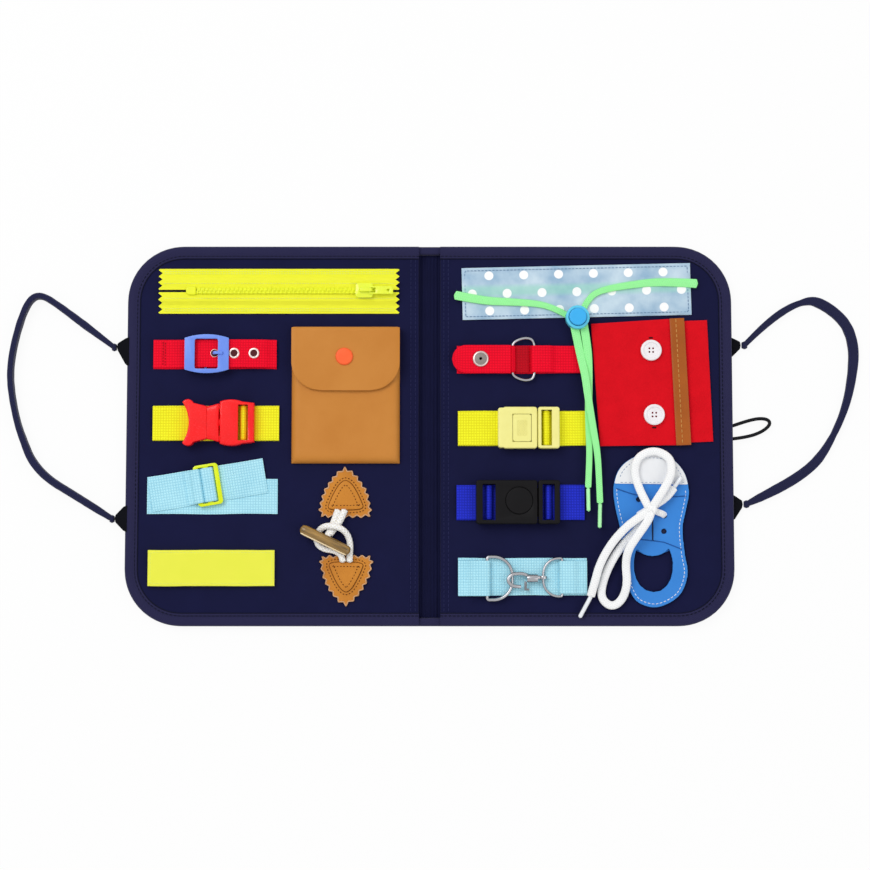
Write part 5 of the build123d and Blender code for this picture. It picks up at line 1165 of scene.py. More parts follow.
@dataclass
class Handle:
    """One folded and stitched carry strap, with a sewn roll at each end."""

    name: str
    points: Route
    across: float
    high: float
    level: float
    twist: Route  # shares of its length, and the share of its width that its twist shows there
    roll_radius: float = 1.9
    roll_half: float = 2.8
    seam: float = 1.1  # from its edges to its stitches

    def build(self) -> None:
        """Builds the strap, its two stitch rows and its rolls."""
        body = f"{self.name}_handle"
        route = smooth_line(body, [(x, y, self.level) for x, y in self.points], 1.5)
        shape = soft_box(self.across, self.high, 20, 0.5)
        pucker = 1 + 0.04 * ripple(route[:, :1], route[:, 1:2], 7.0, 21)[..., None]
        share = lengths(route) / lengths(route)[-1]
        shown = np.interp(share, *np.array(self.twist).T)
        end = 2 * self.roll_radius / self.high
        gathered = np.interp(share, (0, 0.1, 0.9, 1), (end, 1, 1, end))
        profile = np.minimum(shape[None] * pucker, np.abs(shape).max(axis=0))
        profile = profile * np.stack([shown, gathered], axis=1)[:, None]
        surface = carry(route, profile, blunt=1.0)
        for x, y in (self.points[0], self.points[-1]):
            surface += rod((x, y - self.roll_half, self.level), (x, y + self.roll_half, self.level),
                           ring_shape(self.roll_radius, 16), 0.7, 1.2)
        build(f"{self.name}_carry_strap", surface, STRAP_CLOTH, body, [body])
        side = np.cross((0, 0, 1), np.gradient(route, axis=0))
        side /= np.linalg.norm(side, axis=1, keepdims=True)
        tops = gathered[:, None] * (0, 0, self.high / 2) - (0, 0, 0.12)
        rows = [route + side * way * (self.across / 2 - self.seam) * shown[:, None] + tops for way in (-1, 1)]
        build(f"{self.name}_strap_stitches", seams([row[6:-6] for row in rows], 3.0, 2.1, 0.25), NAVY_THREAD,
              body)


@dataclass
class Closure:
    """The elastic loop at the right edge."""

    route: Route = (
        (215.9, 6.4, 4), (229.7, 11.4, 3.6), (240.8, 12.2, 3.2), (244.4, 8.4, 3), (238.4, 2.7, 3),
        (227.2, -1.4, 3.4), (215.9, -2.7, 4))
    radius: float = 1.25

    def build(self) -> None:
        """Lays the elastic."""
        lay_cord("closure_elastic_loop", self.route, ring_shape(self.radius), BLACK_ELASTIC, RIGHT,
                 "closure_elastic")


# ---------------------------------------------------------------- left cover
@dataclass
class Zipper:
    """Two pinked tapes, two rows of teeth, the stop, the slider and its pull."""

    tape_x: Pair = (-194.5, -21.5)
    middle: float = 103.3
    half: float = 16.2
    pinking: float = 3.0
    thick: float = 0.6
    tooth_pitch: float = 3.0
    teeth_x: Pair = (-165.5, -28.0)
    stop_x: Pair = (-174.5, -167.3)
    chain_levels: Pair = (9.2, 10.9)

    def tape(self, side: int) -> Surface:
        """One tape: its height steps up from cloth to chain, its ends zigzag, and it puckers between."""
        v = np.array([0.875, 2.5, 4.5, 6.2, 7.2, 8.2, 9.4, 10.2, 11.7, 13.2, 14.7, 16.2])
        level = np.interp(v, [0.875, 7.2, 10.2, 16.2], [8.9, 8.9, 7.3, 7.3])
        fine = np.interp(np.arange(0, len(v) - 0.9, 0.25), np.arange(len(v)), v)
        level = np.interp(fine, v, level)
        u = np.linspace(0, 1, 120)
        wave = 2 * self.half / 7
        cut = self.pinking * np.abs(((fine + 0.8) / wave) % 1 * 2 - 1)
        x = (self.tape_x[0] + cut)[None, :] * (1 - u[:, None]) + (self.tape_x[1] - cut)[None, :] * u[:, None]
        lift = 0.35 * (ripple(x, fine[None, :] * 0.6, 14.0, 31 + side) + 0.6) * np.clip((fine - 1) / 4, 0, 1)
        y = self.middle + side * np.broadcast_to(fine, x.shape)
        z = np.maximum(level[None, :] + lift - 0.15, 7.32)
        return slab(x, y, z - self.thick / 2, z + self.thick / 2, 0.1)

    def teeth(self) -> Surface:
        """Both rows of teeth: one rounded block repeated along X, the second row half a pitch on."""
        block = pad(rectangle((-0.75, -1.3), (0.75, 1.3), [0.35] * 4, 1.5)[::2], *self.chain_levels, 0.3, 2)
        count = int((self.teeth_x[1] - self.teeth_x[0]) / self.tooth_pitch)
        shifts = [(self.teeth_x[0] + (i + side / 4) * self.tooth_pitch, self.middle + side * 1.05, 0)
                  for side in (-1, 1) for i in range(count)]
        return repeated(block, np.array(shifts))

    def build(self) -> None:
        """Builds the fixed half, then the slider and its pull."""
        tapes = self.tape(-1) + self.tape(1)
        build("zipper_tapes", tapes, NEON_TAPE, LEFT, ["zipper_halves"])
        bed = rectangle((self.teeth_x[0] - 1, self.middle - 2), (self.teeth_x[1] + 1, self.middle + 2),
                        [0.5] * 4, 2.0)
        build("zipper_teeth", self.teeth() + pad(bed, 9.35, 10.2, 0.2, 2), NEON_TEETH, LEFT)
        stop = rectangle((self.stop_x[0], self.middle - 3), (self.stop_x[1], self.middle + 3),
                         [2.5, 0.8, 0.8, 2.5], 1.5)
        build("zipper_bottom_stop", pad(stop, *self.chain_levels, 0.5, 3), NEON_TEETH, LEFT)
        x = (self.tape_x[0] + 4, self.tape_x[1] - 4)
        rows = [line(*((end, self.middle + side * offset, level) for end in x))
                for offsets, level in (((12.6, 14.2), 7.85), ((5.4,), 9.4)) for side in (-1, 1)
                for offset in offsets]
        build("zipper_tape_stitches", seams(rows, 1.9, 1.3, 0.26), NEON_THREAD, LEFT)
        hard_piece("zipper_slider", "zip_slider", NEON_ENAMEL, 0.4)
        hard_piece("zipper_pull", "zip_pull_tab", NEON_ENAMEL, 0.3)


def repeated(block: Surface, shifts: Points) -> Surface:
    """The same surface at many places."""
    size = len(block.points)
    points = (block.points[None] + shifts[:, None]).reshape(-1, 3)
    faces = [tuple(i + k * size for i in face) for k in range(len(shifts)) for face in block.faces]
    return Surface(points, faces, np.tile(block.chart, (len(shifts), 1)))


@dataclass
class Belt:
    """A punched strap on a sewn base, its eyelets, and the buckle with its prong."""

    base: Pair = (-197.4, -109.4)
    middle: float = 58.0
    width: float = 20.0
    route: Route = ((-197.4, 8.5), (-170.5, 8.5), (-165, 11.8), (-119, 11.8), (-113.5, 8.5), (-109.4, 8.5))
    eyelets: tuple[float, ...] = (-153.4, -139.4, -125.3)
    seams_at: Triple = (-190.5, -188.9, -114.5)
    seam_half: float = 8.4

    def build(self) -> None:
        """Builds the straps, the trim and the buckle."""
        bent = smooth_line("belt_line", [(x, self.middle, z) for x, z in self.route], 1.2)
        surface = strap_base(self.base, self.middle - 0.6, self.width + 0.4, seed=41) \
            + strap(bent[:, [0, 2]], self.middle, self.width, seed=42)
        build("red_belt_straps", surface, RED_WEBBING, LEFT, ["red_belt_webbing"])
        rows = [line((x, self.middle - way * self.seam_half, level),
                     (x, self.middle + way * self.seam_half, level))
                for x, way, level in zip(self.seams_at, (1, -1, 1), (9.02, 9.02, 9.2))]
        build("red_belt_stitches", seams(rows, 2.2, 1.7, 0.3), BELT_THREAD, LEFT)
        shades = [turned([(0, 12.2), (2.5, 12.2), (2.5, 12.6), (0, 12.6)], (x, self.middle), 20)
                  for x in self.eyelets]
        build("belt_eyelet_shades", joined(shades), EYELET_SHADE, LEFT)
        hard_piece("left_metal_fittings", "left_metal_trim", EYELET_METAL, 0.25)
        hard_piece("belt_buckle_frame", "tongue_buckle_frame", BLUE_ACETAL, 0.55)
        hard_piece("belt_buckle_prong", "tongue_buckle_prong", BLUE_ACETAL, 0.4)


@dataclass
class SideRelease:
    """The red two-part buckle on yellow webbing."""

    base: Pair = (-197.4, -107.3)
    middle: float = 8.1
    width: float = 25.0
    folds: tuple[Fold, Fold] = (Fold(-107.3, -132.5, 1.2, 8.1, 24.4, WRAP),
                                Fold(-197.4, -165.6, 1.2, 8.1, 24.4, WRAP))
    mouth: Route = (
        (-160.5, -11.3), (-155.0, -12.2), (-149.4, -13.9), (-149.4, -6.0), (-149.4, 0.0), (-149.4, 6.0),
        (-149.4, 13.9), (-155.0, 12.2), (-160.5, 11.3))

    def build(self) -> None:
        """Builds the base, the socket's strap, the plug's strap and both halves of the buckle."""
        fixed = strap_base(self.base, self.middle, self.width, seed=51) + self.folds[0].made(52)
        build("yellow_straps", fixed, YELLOW_WEBBING, LEFT, ["side_release_webbing"])
        build("yellow_plug_strap", self.folds[1].made(53), YELLOW_WEBBING, "side_plug",
              ["side_plug_webbing"])
        ring = evened(np.array(self.mouth) + (0, self.middle), 1.2)
        build("red_buckle_guide", pad(ring, 10.6, 15.0, 0.9, 6, 0.5), RED_ACETAL, "side_plug")
        hard_piece("red_buckle_socket", "side_release_socket", RED_ACETAL, 0.6)
        hard_piece("red_buckle_plug", "side_release_plug", RED_ACETAL, 0.5)


@dataclass
class TriGlide:
    """Webbing with a slider that two bars hold."""

    base: Pair = (-200.8, -108.0)
    middle: float = -44.0
    width: float = 25.0
    origin: Pair = (-157.3, -36.0)
    turn: float = 9.5
    top_x: Pair = (-42.0, 41.0)  # ends of the top strap from the origin
    loop: Route = (
        (-15.5, 0, 9.6), (-11.5, 0, 9.8), (-10.2, 0, 12.8), (-6.6, 0, 12.8), (-4.9, 0, 12.6), (-4.4, 0, 9.9),
        (-3.7, 0, 9.9), (-3.2, 0, 12.6), (2.6, 0, 12.6), (4.6, 0, 12.2), (5.0, 0, 9.7))

    def build(self) -> None:
        """Builds the base and top strap, the slider, and the strap that covers its middle bar."""
        base = strap_base(self.base, self.middle, self.width, seed=61)
        top = strap_base(self.top_x, 0.0, self.width, TOP + 1.0, TOP + 2.0, 62, self.turn, self.origin)
        build("sky_straps", base + top, SKY_WEBBING, LEFT, ["tri_glide_webbing"])
        shape = smooth_line("glide_loop", self.loop, 0.35)
        over = strap(shape[:, [0, 2]], 0.0, self.width - 0.8, 0.9, self.turn, self.origin, 63)
        build("sky_strap_over_bar", over, SKY_WEBBING, "tri_glide",
              ["tri_glide_strap_loop"])
        hard_piece("lime_slider", "tri_glide_slider", LIME_ACETAL, 0.45)


@dataclass
class HookStrips:
    """Two strips of hook and loop tape, one on the other."""

    span: Pair = (-199.5, -109.9)
    middle: float = -94.9
    half: float = 12.7
    seam: float = 1.8  # from its edges to its stitches

    def build(self) -> None:
        """Builds the sewn strip, the strip that peels off, and their edge stitches."""
        for node, body, low, high, seed in (("hook_strip", LEFT, TOP, 8.6, 71),
                                            ("loop_strip", "loop_strip", 8.8, 10.4, 72)):
            surface = strap_base(self.span, self.middle, 2 * self.half, low, high, seed)
            build(f"neon_{node}", surface, LOOP_TAPE, body, [node])
            inner = rectangle((self.span[0] + self.seam, self.middle - self.half + self.seam),
                              (self.span[1] - self.seam, self.middle + self.half - self.seam), [1] * 4)
            build(f"neon_{node}_stitches", seams([closed(inner, high - 0.02)], 2.4, 1.7, 0.2), NEON_THREAD,
                  body)


@dataclass
class Pouch:
    """A leatherette pocket, open at its top, with a flap and a snap."""

    left: float = -98.4
    right: float = -21.3
    bottom: float = -20.6
    top: float = 75.4
    front: float = 13.4
    skin: float = 1.0
    flap_low: float = 31.0
    flap_radius: float = 21.0
    back: Pair = (75.7, 76.9)
    flap_top: float = 15.6

    def body(self) -> Surface:
        """Back and front skins: the front rises from three edges on a quarter superellipse, open on top."""
        u = spread(self.left, self.right, 1.6)
        v = spread(self.bottom, self.top, 1.6)
        x, y = np.meshgrid(u, v)
        back = slab(x, y, TOP, TOP + self.skin, 0.1)
        rise = 7.0
        side = np.clip(np.minimum(x - self.left, self.right - x) / rise, 0, 1)
        low = np.clip((y - self.bottom) / rise, 0, 1)
        arch = np.sqrt(np.clip(1 - (1 - side) ** 2.6, 0, 1)) * np.sqrt(np.clip(1 - (1 - low) ** 2.6, 0, 1))
        sag = 0.5 * ripple(x, y * 0.7, 34.0, 81) * arch
        z = TOP + self.skin + 0.05 + (self.front - TOP - self.skin - 0.6) * arch + np.minimum(sag, 0.45)
        return back + slab(x, y, np.maximum(z - self.skin, TOP + 0.4), z, 0.1)

    def flap(self) -> Surface:
        """The flap: a strip from behind the mouth, with a quarter circle at each lower corner."""
        middle = (self.left + self.right) / 2
        y_back, z_top = (self.back[0] + self.back[1]) / 2, self.flap_top - self.skin / 2
        path = smooth_line("flap_line",
                           [(middle, y_back, 7.4), (middle, y_back, 12.5), (middle, y_back - 0.1, z_top),
                            (middle, y_back - 4, z_top), (middle, self.flap_low, z_top)], 0.8)
        path[-1, 1] = self.flap_low
        path[:, 1] = np.minimum(path[:, 1], y_back)
        reach = np.clip((path[:, 1] - self.flap_low) / self.flap_radius, 0, 1)
        half = (self.right - self.left) / 2 - self.flap_radius * (1 - np.sqrt(1 - (1 - reach) ** 2))
        side = np.linspace(-1, 1, 41)
        upper = np.stack([side, np.full(41, 0.5)], axis=1)
        upper[[0, -1], 1] = 0.15
        profile = np.vstack([upper, (upper * (1, -1))[::-1]])
        shape = profile[None] * np.stack([half, np.full(len(half), self.skin)], axis=1)[:, None]
        return carry(path, shape, (1.0, 0.0, 0.0))

    def build(self) -> None:
        """Builds the pocket, the flap and the snap cap."""
        build("pouch_pocket", self.body(), TAN_LEATHER, LEFT, ["pouch_body"])
        build("pouch_front_flap", self.flap(), TAN_LEATHER, "pouch_flap", ["pouch_flap"])
        hard_piece("pouch_snap", "pouch_snap_cap", ORANGE_ENAMEL, 0.5)


@dataclass
class Toggle:
    """Two stitched leather tabs, a cord pair, a cord loop, and the toggle that it holds."""

    upper: Route = (
        (-60.3, -22.7), (-65.8, -26.2), (-69.4, -30.2), (-72.2, -34.3), (-75.1, -38.8), (-76.9, -43.7),
        (-78.1, -48.7), (-79, -53.7), (-77, -58.8), (-71.9, -59.5), (-66.3, -59.5), (-60.3, -59.5),
        (-54.6, -59.5), (-48.6, -59.5), (-42.1, -58.8), (-40.9, -53.7), (-42, -48.7), (-43, -43.2),
        (-44.9, -38.4), (-48, -33.9), (-51, -29.6), (-54.8, -25.8))
    lower: Route = (
        (-78.3, -90.3), (-77.3, -95.7), (-75.9, -101.6), (-74.1, -106.2), (-71.6, -110.9), (-68.4, -114.8),
        (-64.8, -119.1), (-59.1, -122.2), (-53.5, -118.4), (-50, -114.4), (-46.7, -110.1), (-44.4, -105.8),
        (-42.1, -101.2), (-40.9, -95.7), (-39.7, -90.3), (-42.2, -86), (-47.8, -85.5), (-53.4, -85.5),
        (-59.5, -85.5), (-65.4, -85.5), (-71, -85.5), (-76.4, -86.4))
    patches: tuple[Route, ...] = (
        ((-72.6, -53.7), (-46.4, -53.4), (-48.9, -47), (-51.9, -40.6), (-55.6, -34.9), (-59.9, -32.3),
         (-64.2, -35.4), (-67.7, -41.4), (-70.6, -47.6)),
        ((-46.4, -91), (-72, -90.6), (-69.2, -98), (-66.2, -104.4), (-63, -109.4), (-59.2, -112.2),
         (-55.4, -109.6), (-52, -104), (-48.8, -97.4)))
    pairs: tuple[Route, ...] = (
        ((-64.7, -53.2, 10.5), (-67, -60, 10.4), (-70, -67.5, 10.9), (-72.6, -73, 12.4)),
        ((-59.9, -53.2, 10.5), (-62.4, -60, 10.3), (-66.6, -66.4, 10.7), (-71, -71.6, 12.2)))
    pair_radius: float = 2.4
    loop_radius: float = 2.25
    loop: Route = (
        (-61.3, -91.2, 10.4), (-61.8, -86, 10.4), (-67.5, -82.4, 9.6), (-74, -81.8, 9.3), (-79, -79, 9.3),
        (-80.6, -73.5, 9.3), (-78.6, -68.3, 9.6), (-74, -65.2, 14.4), (-67.5, -65.4, 16.2),
        (-61.2, -67.6, 15.4), (-57.2, -72.6, 12), (-56, -79.5, 10.6), (-56.6, -85.5, 10.4),
        (-56.5, -91.2, 10.4))
    middle: Triple = (-73.7, -75.3, 14.5)
    turn: float = -25.8
    length: float = 39.0
    radius: float = 3.75

    def tabs(self) -> None:
        """Builds both pinked tabs, their patches, the groove round each patch and the stitch rows."""
        tabs, patches, rows, grooves, edges = [], [], [], [], []
        for number, (tab, inner) in enumerate(zip((self.upper, self.lower), self.patches)):
            tips = toothed(np.array(tab, float), 1.9)
            tabs.append(pad(tips, TOP, 8.2, 0.25, 5, 0.0, 0.15, 12.0, number))
            edges.append(closed(inset(tips, 0.45), 8.12))
            shape = rounded(inner, 2)
            shape = shape[::-1] if signed_area(shape) < 0 else shape
            shape = evened(shape, 1.0)
            patches.append(pad(shape, 8.2, 9.3, 0.5, 5, 0.25, 0.1, 9.0, number))
            rows += [closed(inset(shape, 3.0), 9.45), closed(inset(shape, -2.1), 8.2)]
            grooves.append(closed(inset(shape, -0.15), 8.35))
        build("toggle_leather_tabs", joined(tabs), TAB_LEATHER, LEFT, ["toggle_tabs"])
        build("toggle_tab_raw_edges", seams(edges, 0.6, 0.7, 0.5), RAW_EDGE, LEFT)
        build("toggle_leather_patches", joined(patches), TAB_LEATHER, LEFT)
        build("toggle_patch_grooves", seams(grooves, 1.0, 1.3, 0.3), TAB_THREAD, LEFT)
        build("toggle_tab_stitches", seams(rows, 2.3, 1.2, 0.32), TAB_THREAD, LEFT)

    def horn(self, length: float, radius: float, shift: float, lift: float, blunt: float) -> Surface:
        """A rod along the toggle's length: its radius falls off at both ends by a superellipse."""
        t = np.linspace(-1, 1, 61)
        size = radius * np.maximum(1 - np.abs(t) ** blunt, 0) ** 0.5
        x, y = rotated(t * length / 2, np.full(len(t), -shift), self.turn)
        path = np.stack([x, y, np.full(len(t), lift)], axis=1) + self.middle
        shape = ring_shape(1.0, 28)[None] * np.maximum(size, 0.04)[:, None, None]
        return carry(path, shape)

    def build(self) -> None:
        """Builds the tabs, the cords and the toggle."""
        self.tabs()
        cords = [carry(smooth_line(f"toggle_pair_{number}", points, 0.7), ring_shape(self.pair_radius),
                       blunt=0.6)
                 for number, points in enumerate(self.pairs)]
        build("toggle_cord_pair", joined(cords), CREAM_CORD, LEFT, ["toggle_cords"])
        lay_cord("toggle_cord_loop", self.loop, ring_shape(self.loop_radius), CREAM_CORD, LEFT,
                 "toggle_cords")
        build("wooden_toggle", self.horn(self.length, self.radius, 0.0, 0.0, 14.0), HORN, "toggle",
              ["toggle"])
        # painted highlight along the toggle's lower long edge
        build("wooden_toggle_painted_highlight", self.horn(self.length * 0.93, 0.75, 3.05, 1.75, 12.0), HORN_HIGHLIGHT, "toggle")


def signed_area(loop: Points) -> float:
    """Area inside a closed outline, positive where it runs counter-clockwise."""
    after = np.roll(loop, -1, axis=0)
    return float(np.sum(loop[:, 0] * after[:, 1] - after[:, 0] * loop[:, 1]) / 2)


def rounded(points: Route, rounds: int) -> Points:
    """A closed outline of cut cloth with its corners cut off, each at a fifth of its sides, rounds times."""
    path = np.array(points, float)
    for _ in range(rounds):
        after = np.roll(path, -1, axis=0)
        path = np.stack([path * 0.8 + after * 0.2, path * 0.2 + after * 0.8], axis=1).reshape(-1, 2)
    return path


# ---------------------------------------------------------------- right cover
@dataclass
class Drawstring:
    """A dotted satin casing, the flat lace that runs through it, and the lock on the lace."""

    middle: Pair = (105.3, 103.1)
    size: Pair = (164.0, 37.5)
    tilt: float = 1.3
    seam: float = 2.2  # from its edges to its stitches
    arms: tuple[Route, ...] = (
        ((17.6, 100.4), (36.5, 96.3), (57.4, 95.3), (76.6, 94.3), (89.7, 90.7), (99, 85.2)),
        ((192.2, 108.5), (166.7, 110.3), (142.2, 107.5), (122.1, 103.7), (113.4, 97.6), (109, 88.3)))
    tails: tuple[Route, ...] = (
        ((101.3, 88.4, 12.4), (104.3, 72.7, 12.4), (107.3, 57.5, 12.4), (109.1, 49.5, 13.2),
         (110.8, 41.5, 14.0), (112.5, 28, 14.2), (113.9, 18.1, 14.2), (116.4, 2.5, 14.2),
         (119.1, -13.1, 13.6), (120.1, -28.7, 12.6), (120.8, -49.6, 12.4)),
        ((107.9, 89.5, 12.4), (111.1, 72.7, 12.4), (113, 57.5, 12.2), (113.3, 49.5, 12.0),
         (113.4, 41.5, 12.0), (113.3, 28, 12.0), (113, 18.1, 12.0), (113.2, 2.5, 12.0), (113.6, -13.1, 12.2),
         (112.9, -28.7, 12.4), (112.4, -38.6, 12.4)))
    tips: tuple[Route, ...] = (((120.8, -49.2), (120.4, -66.8)), ((112.4, -38.2), (112.6, -55.0)))
    levels: Pair = (9.2, 12.4)
    lace: Pair = (6.5, 1.4)
    tail_width: float = 6.2

    def casing(self) -> Surface:
        """The casing: its face swells over the lace inside, and gathers in slanting folds at its ends."""
        half = (self.size[0] / 2, self.size[1] / 2)
        u, v = np.meshgrid(spread(-half[0], half[0], 1.3), spread(-half[1], half[1], 1.2))
        swell = 0.75 * np.exp(-(((v - 6.5) / 6.0) ** 4))
        ends = np.clip((np.abs(u) - half[0] + 45) / 45, 0, 1)
        folds = (0.3 + 0.45 * ends) * ripple(u * 0.75 + v * 0.25, v * 0.45, 13.0, 91)
        inside = np.clip(np.minimum(half[0] - np.abs(u), half[1] - np.abs(v)) / 2.5, 0, 1)
        z = 8.1 + inside * (swell + np.clip(folds, -0.35, 0.6))
        x, y = rotated(u, v, self.tilt)
        return slab(self.middle[0] + x, self.middle[1] + y, TOP, z, 0.15)

    def build(self) -> None:
        """Builds the casing, lays both arms and both tails, and builds the tips and the lock."""
        piece = build("dotted_casing", self.casing(), SATIN, RIGHT, ["lace_tunnel"])
        middle, half = np.array(self.middle), np.array(self.size) / 2 - self.seam
        edge = rectangle(tuple(middle - half), tuple(middle + half), [0.5] * 4)
        ring = closed(turned_about(edge, self.middle, self.tilt), 8.45)
        build("casing_stitches", seams([ring], 2.6, 1.8, 0.24), SATIN_THREAD, RIGHT)
        profile = soft_box(*self.lace, 16, 0.5)
        for number, points in enumerate(self.arms):
            route = [(x, y, self.levels[0]) for x, y in points]
            lay_cord(f"lace_arm_{number}", route, profile, GREEN_LACE, RIGHT, "drawcord",
                     narrow=0.68)
        for number, (points, (start, stop)) in enumerate(zip(self.tails, self.tips)):
            level = self.levels[1]
            tip = build(f"lace_tip_{number}",
                        rod((*start, level), (*stop, level), ring_shape(1.4, 14), 0.8, 0.6),
                        GREEN_TIP, RIGHT, ["lace_aglets"])
            lay_cord(f"lace_tail_{number}", points, soft_box(self.tail_width, self.lace[1], 16, 0.5),
                     GREEN_LACE,
                     RIGHT, "drawcord", narrow=0.72)
        hard_piece("lock_body", "cord_lock_body", SKY_RIM, 0.5)
        hard_piece("lock_button", "cord_lock_button", SKY_ACETAL, 0.6)


@dataclass
class StrapRow:
    """A sewn base strap with a folded strap at each end, as each module of webbing has."""

    name: str
    node: str
    base: Pair
    middle: float
    width: float
    finish: Cloth
    slot: str
    folds: tuple[Fold, ...]
    plug: Fold | None = None
    plug_names: tuple[str, str] | None = None
    keep: float = 1.0  # below one, the plug strap, which bunches up against the felt, only gets a mesh of its own

    def build(self) -> None:
        """Builds the fixed straps, and the strap of a moving plug."""
        surface = strap_base(self.base, self.middle, self.width, seed=len(self.name))
        for number, fold in enumerate(self.folds):
            surface += fold.made(101 + number)
        build(self.name, surface, self.finish, RIGHT, [self.node])
        if self.plug and self.plug_names:
            node, body = self.plug_names
            strap_piece = build(f"{self.name}_of_plug", self.plug.made(111), self.finish, body,
                                [node])
            if self.keep < 1:
                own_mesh(strap_piece)


@dataclass
class RingStrap:
    """Red webbing with a snap strap and a D-ring."""

    snap: Pair = (36.4, 53.9)
    strap_x: Pair = (16.1, 57.9)
    bar: float = 59.4
    ring: Route = ((59.4, 55), (59.2, 60.5), (59.7, 65), (63, 67.6), (68.2, 69), (72.8, 68), (74.7, 64),
                   (74.9, 56))
    ring_level: float = 10.2
    window: Route = ((61.2, 44.3), (71, 44.3), (71, 63.5), (61.2, 63.5))
    fittings_box: tuple[Triple, Triple] = ((30.0, 47.0, 12.41), (43.0, 61.0, 20.0))
    middle: float = 53.9
    width: float = 20.0

    def build(self) -> None:
        """Builds the straps, the snap and the ring."""
        folds = (Fold(21.5, 58.7, 1.0, self.middle, 19.4),
                 Fold(113.0, 74.8, 1.0, self.middle, 19.4, back=10.0))
        StrapRow("red_ring_straps", "ring_strap_webbing", (19.5, 113.0), self.middle, self.width, RED_WEBBING,
                 "red_webbing", folds).build()
        along = np.linspace(*self.strap_x, 60)
        reach = np.clip((along - self.strap_x[0]) / (self.width / 2), 0, 1)
        half = np.maximum(self.width / 2 * np.sqrt(1 - (1 - reach) ** 2), 0.6)
        path = at_height(np.stack([along, np.full(len(along), self.middle)], axis=1), 11.9)
        shape = soft_box(2, 1, 24, 0.25)[None] * np.stack([half, np.ones_like(half)], axis=1)[:, None]
        build("red_snap_strap", carry(path, shape, (0.0, 1.0, 0.0)), RED_WEBBING, "snap_strap")
        hard_piece("snap_strap_fittings", "snap_strap", EYELET_METAL, 0.3, self.fittings_box)
        x, y = self.snap
        build("snap_strap_disc",
              turned([(0, 13.7), (4.4, 13.7), (4.4, 14.5), (4.1, 14.75), (1.2, 14.8), (0.9, 14.0),
                      (0, 14.0)], (x, y), 32), SNAP_DISC, "snap_strap")
        half = np.array(self.ring) - (0, self.middle)
        loop = np.vstack([half, half[::-1] * (1, -1)]) + (0, self.middle)
        path = closed(loop_through(loop, 10), self.ring_level)
        bar = rod((self.bar, self.middle - 9.7, self.ring_level),
                  (self.bar, self.middle + 9.7, self.ring_level), ring_shape(1.9, 18), 1.0, 0.3)
        build("red_strap_ring_fold", bar, RED_WEBBING, RIGHT)
        # painted shade: a darker patch where the base strap lies in shade between the folds
        build("red_strap_painted_shade", patch(self.window, 8.4, 9.5, 1.0, 0.1, 20.0, 61), SHADED_WEBBING, RIGHT)
        build("d_ring", carry(path, ring_shape(0.95, 14)), NICKEL, RIGHT, ["strap_d_ring"])


@dataclass
class Buckles:
    """The pale buckle with a square button, and the black buckle with a round one."""

    def build(self) -> None:
        """Builds both on their webbing."""
        StrapRow("pale_buckle_straps", "pale_buckle_webbing", (20.2, 111.2), 4.5, 25.0, YELLOW_WEBBING,
                 "yellow_webbing", (Fold(20.2, 53.7, 1.2, 4.5, 24.4, WRAP),),
                 Fold(111.2, 83.1, 1.2, 4.5, 24.4, WRAP),
                 ("pale_plug_webbing", "pale_plug"), 0.82).build()
        StrapRow("black_buckle_straps", "black_buckle_webbing", (19.1, 110.1), -48.4, 25.0, BLUE_WEBBING,
                 "blue_webbing", (Fold(19.1, 42.15, 1.2, -48.4, 24.4, WRAP),),
                 Fold(110.1, 84.3, 1.2, -48.4, 24.4, WRAP), ("black_plug_webbing", "black_plug")).build()
        for part in ("socket", "plug", "button"):
            hard_piece(f"cream_buckle_{part}", f"pale_buckle_{part}", CREAM_ACETAL, 0.5)
            hard_piece(f"dark_buckle_{part}", f"black_buckle_{part}", BLACK_ACETAL, 0.5)
        low, high = (np.array(corner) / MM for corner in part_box("pale_buckle_button"))
        middle, half = (low + high)[:2] / 2, (3.4, 5.4)
        rows = [closed(rectangle(tuple(middle - half), tuple(middle + half), [0.6] * 4, 1.0), high[2] - 0.02)]
        for way in (-1, 1):
            for offset in np.arange(-7.2, 7.3, 1.8):
                reach = [t for t in np.linspace(-6, 6, 49) if abs(t) < half[0] - 0.3
                         and abs(offset + way * t) < half[1] - 0.3]
                if len(reach) > 3:
                    rows.append(line(*((middle[0] + t, middle[1] + offset + way * t, high[2] - 0.02)
                                       for t in (reach[0], reach[-1]))))
        build("cream_button_lattice", seams(rows, 1.0, 1.3, 0.14), CREAM_GRIP, "pale_button")


@dataclass
class Clasp:
    """A swivel hook between two D-rings on pale blue webbing."""

    def build(self) -> None:
        """Builds the straps, the rings and the hook."""
        folds = (Fold(20.2, 40.7, 1.15, -102.2, 25.0, back=9.0),
                 Fold(111.5, 93.8, 0.9, -101.5, 23.0, back=7.0))
        StrapRow("clasp_straps", "clasp_webbing", (20.2, 111.5), -101.0, 26.4, SKY_WEBBING,
                 "pale_blue_webbing", folds).build()
        for name in ("clasp_left_ring", "clasp_right_ring"):
            hard_piece(f"{name}_wire", name, NICKEL, 0.25)
        hard_piece("swivel_hook", "trigger_hook", NICKEL, 0.3)
        hard_piece("hook_lever", "hook_trigger", DARK_NICKEL, 0.2)


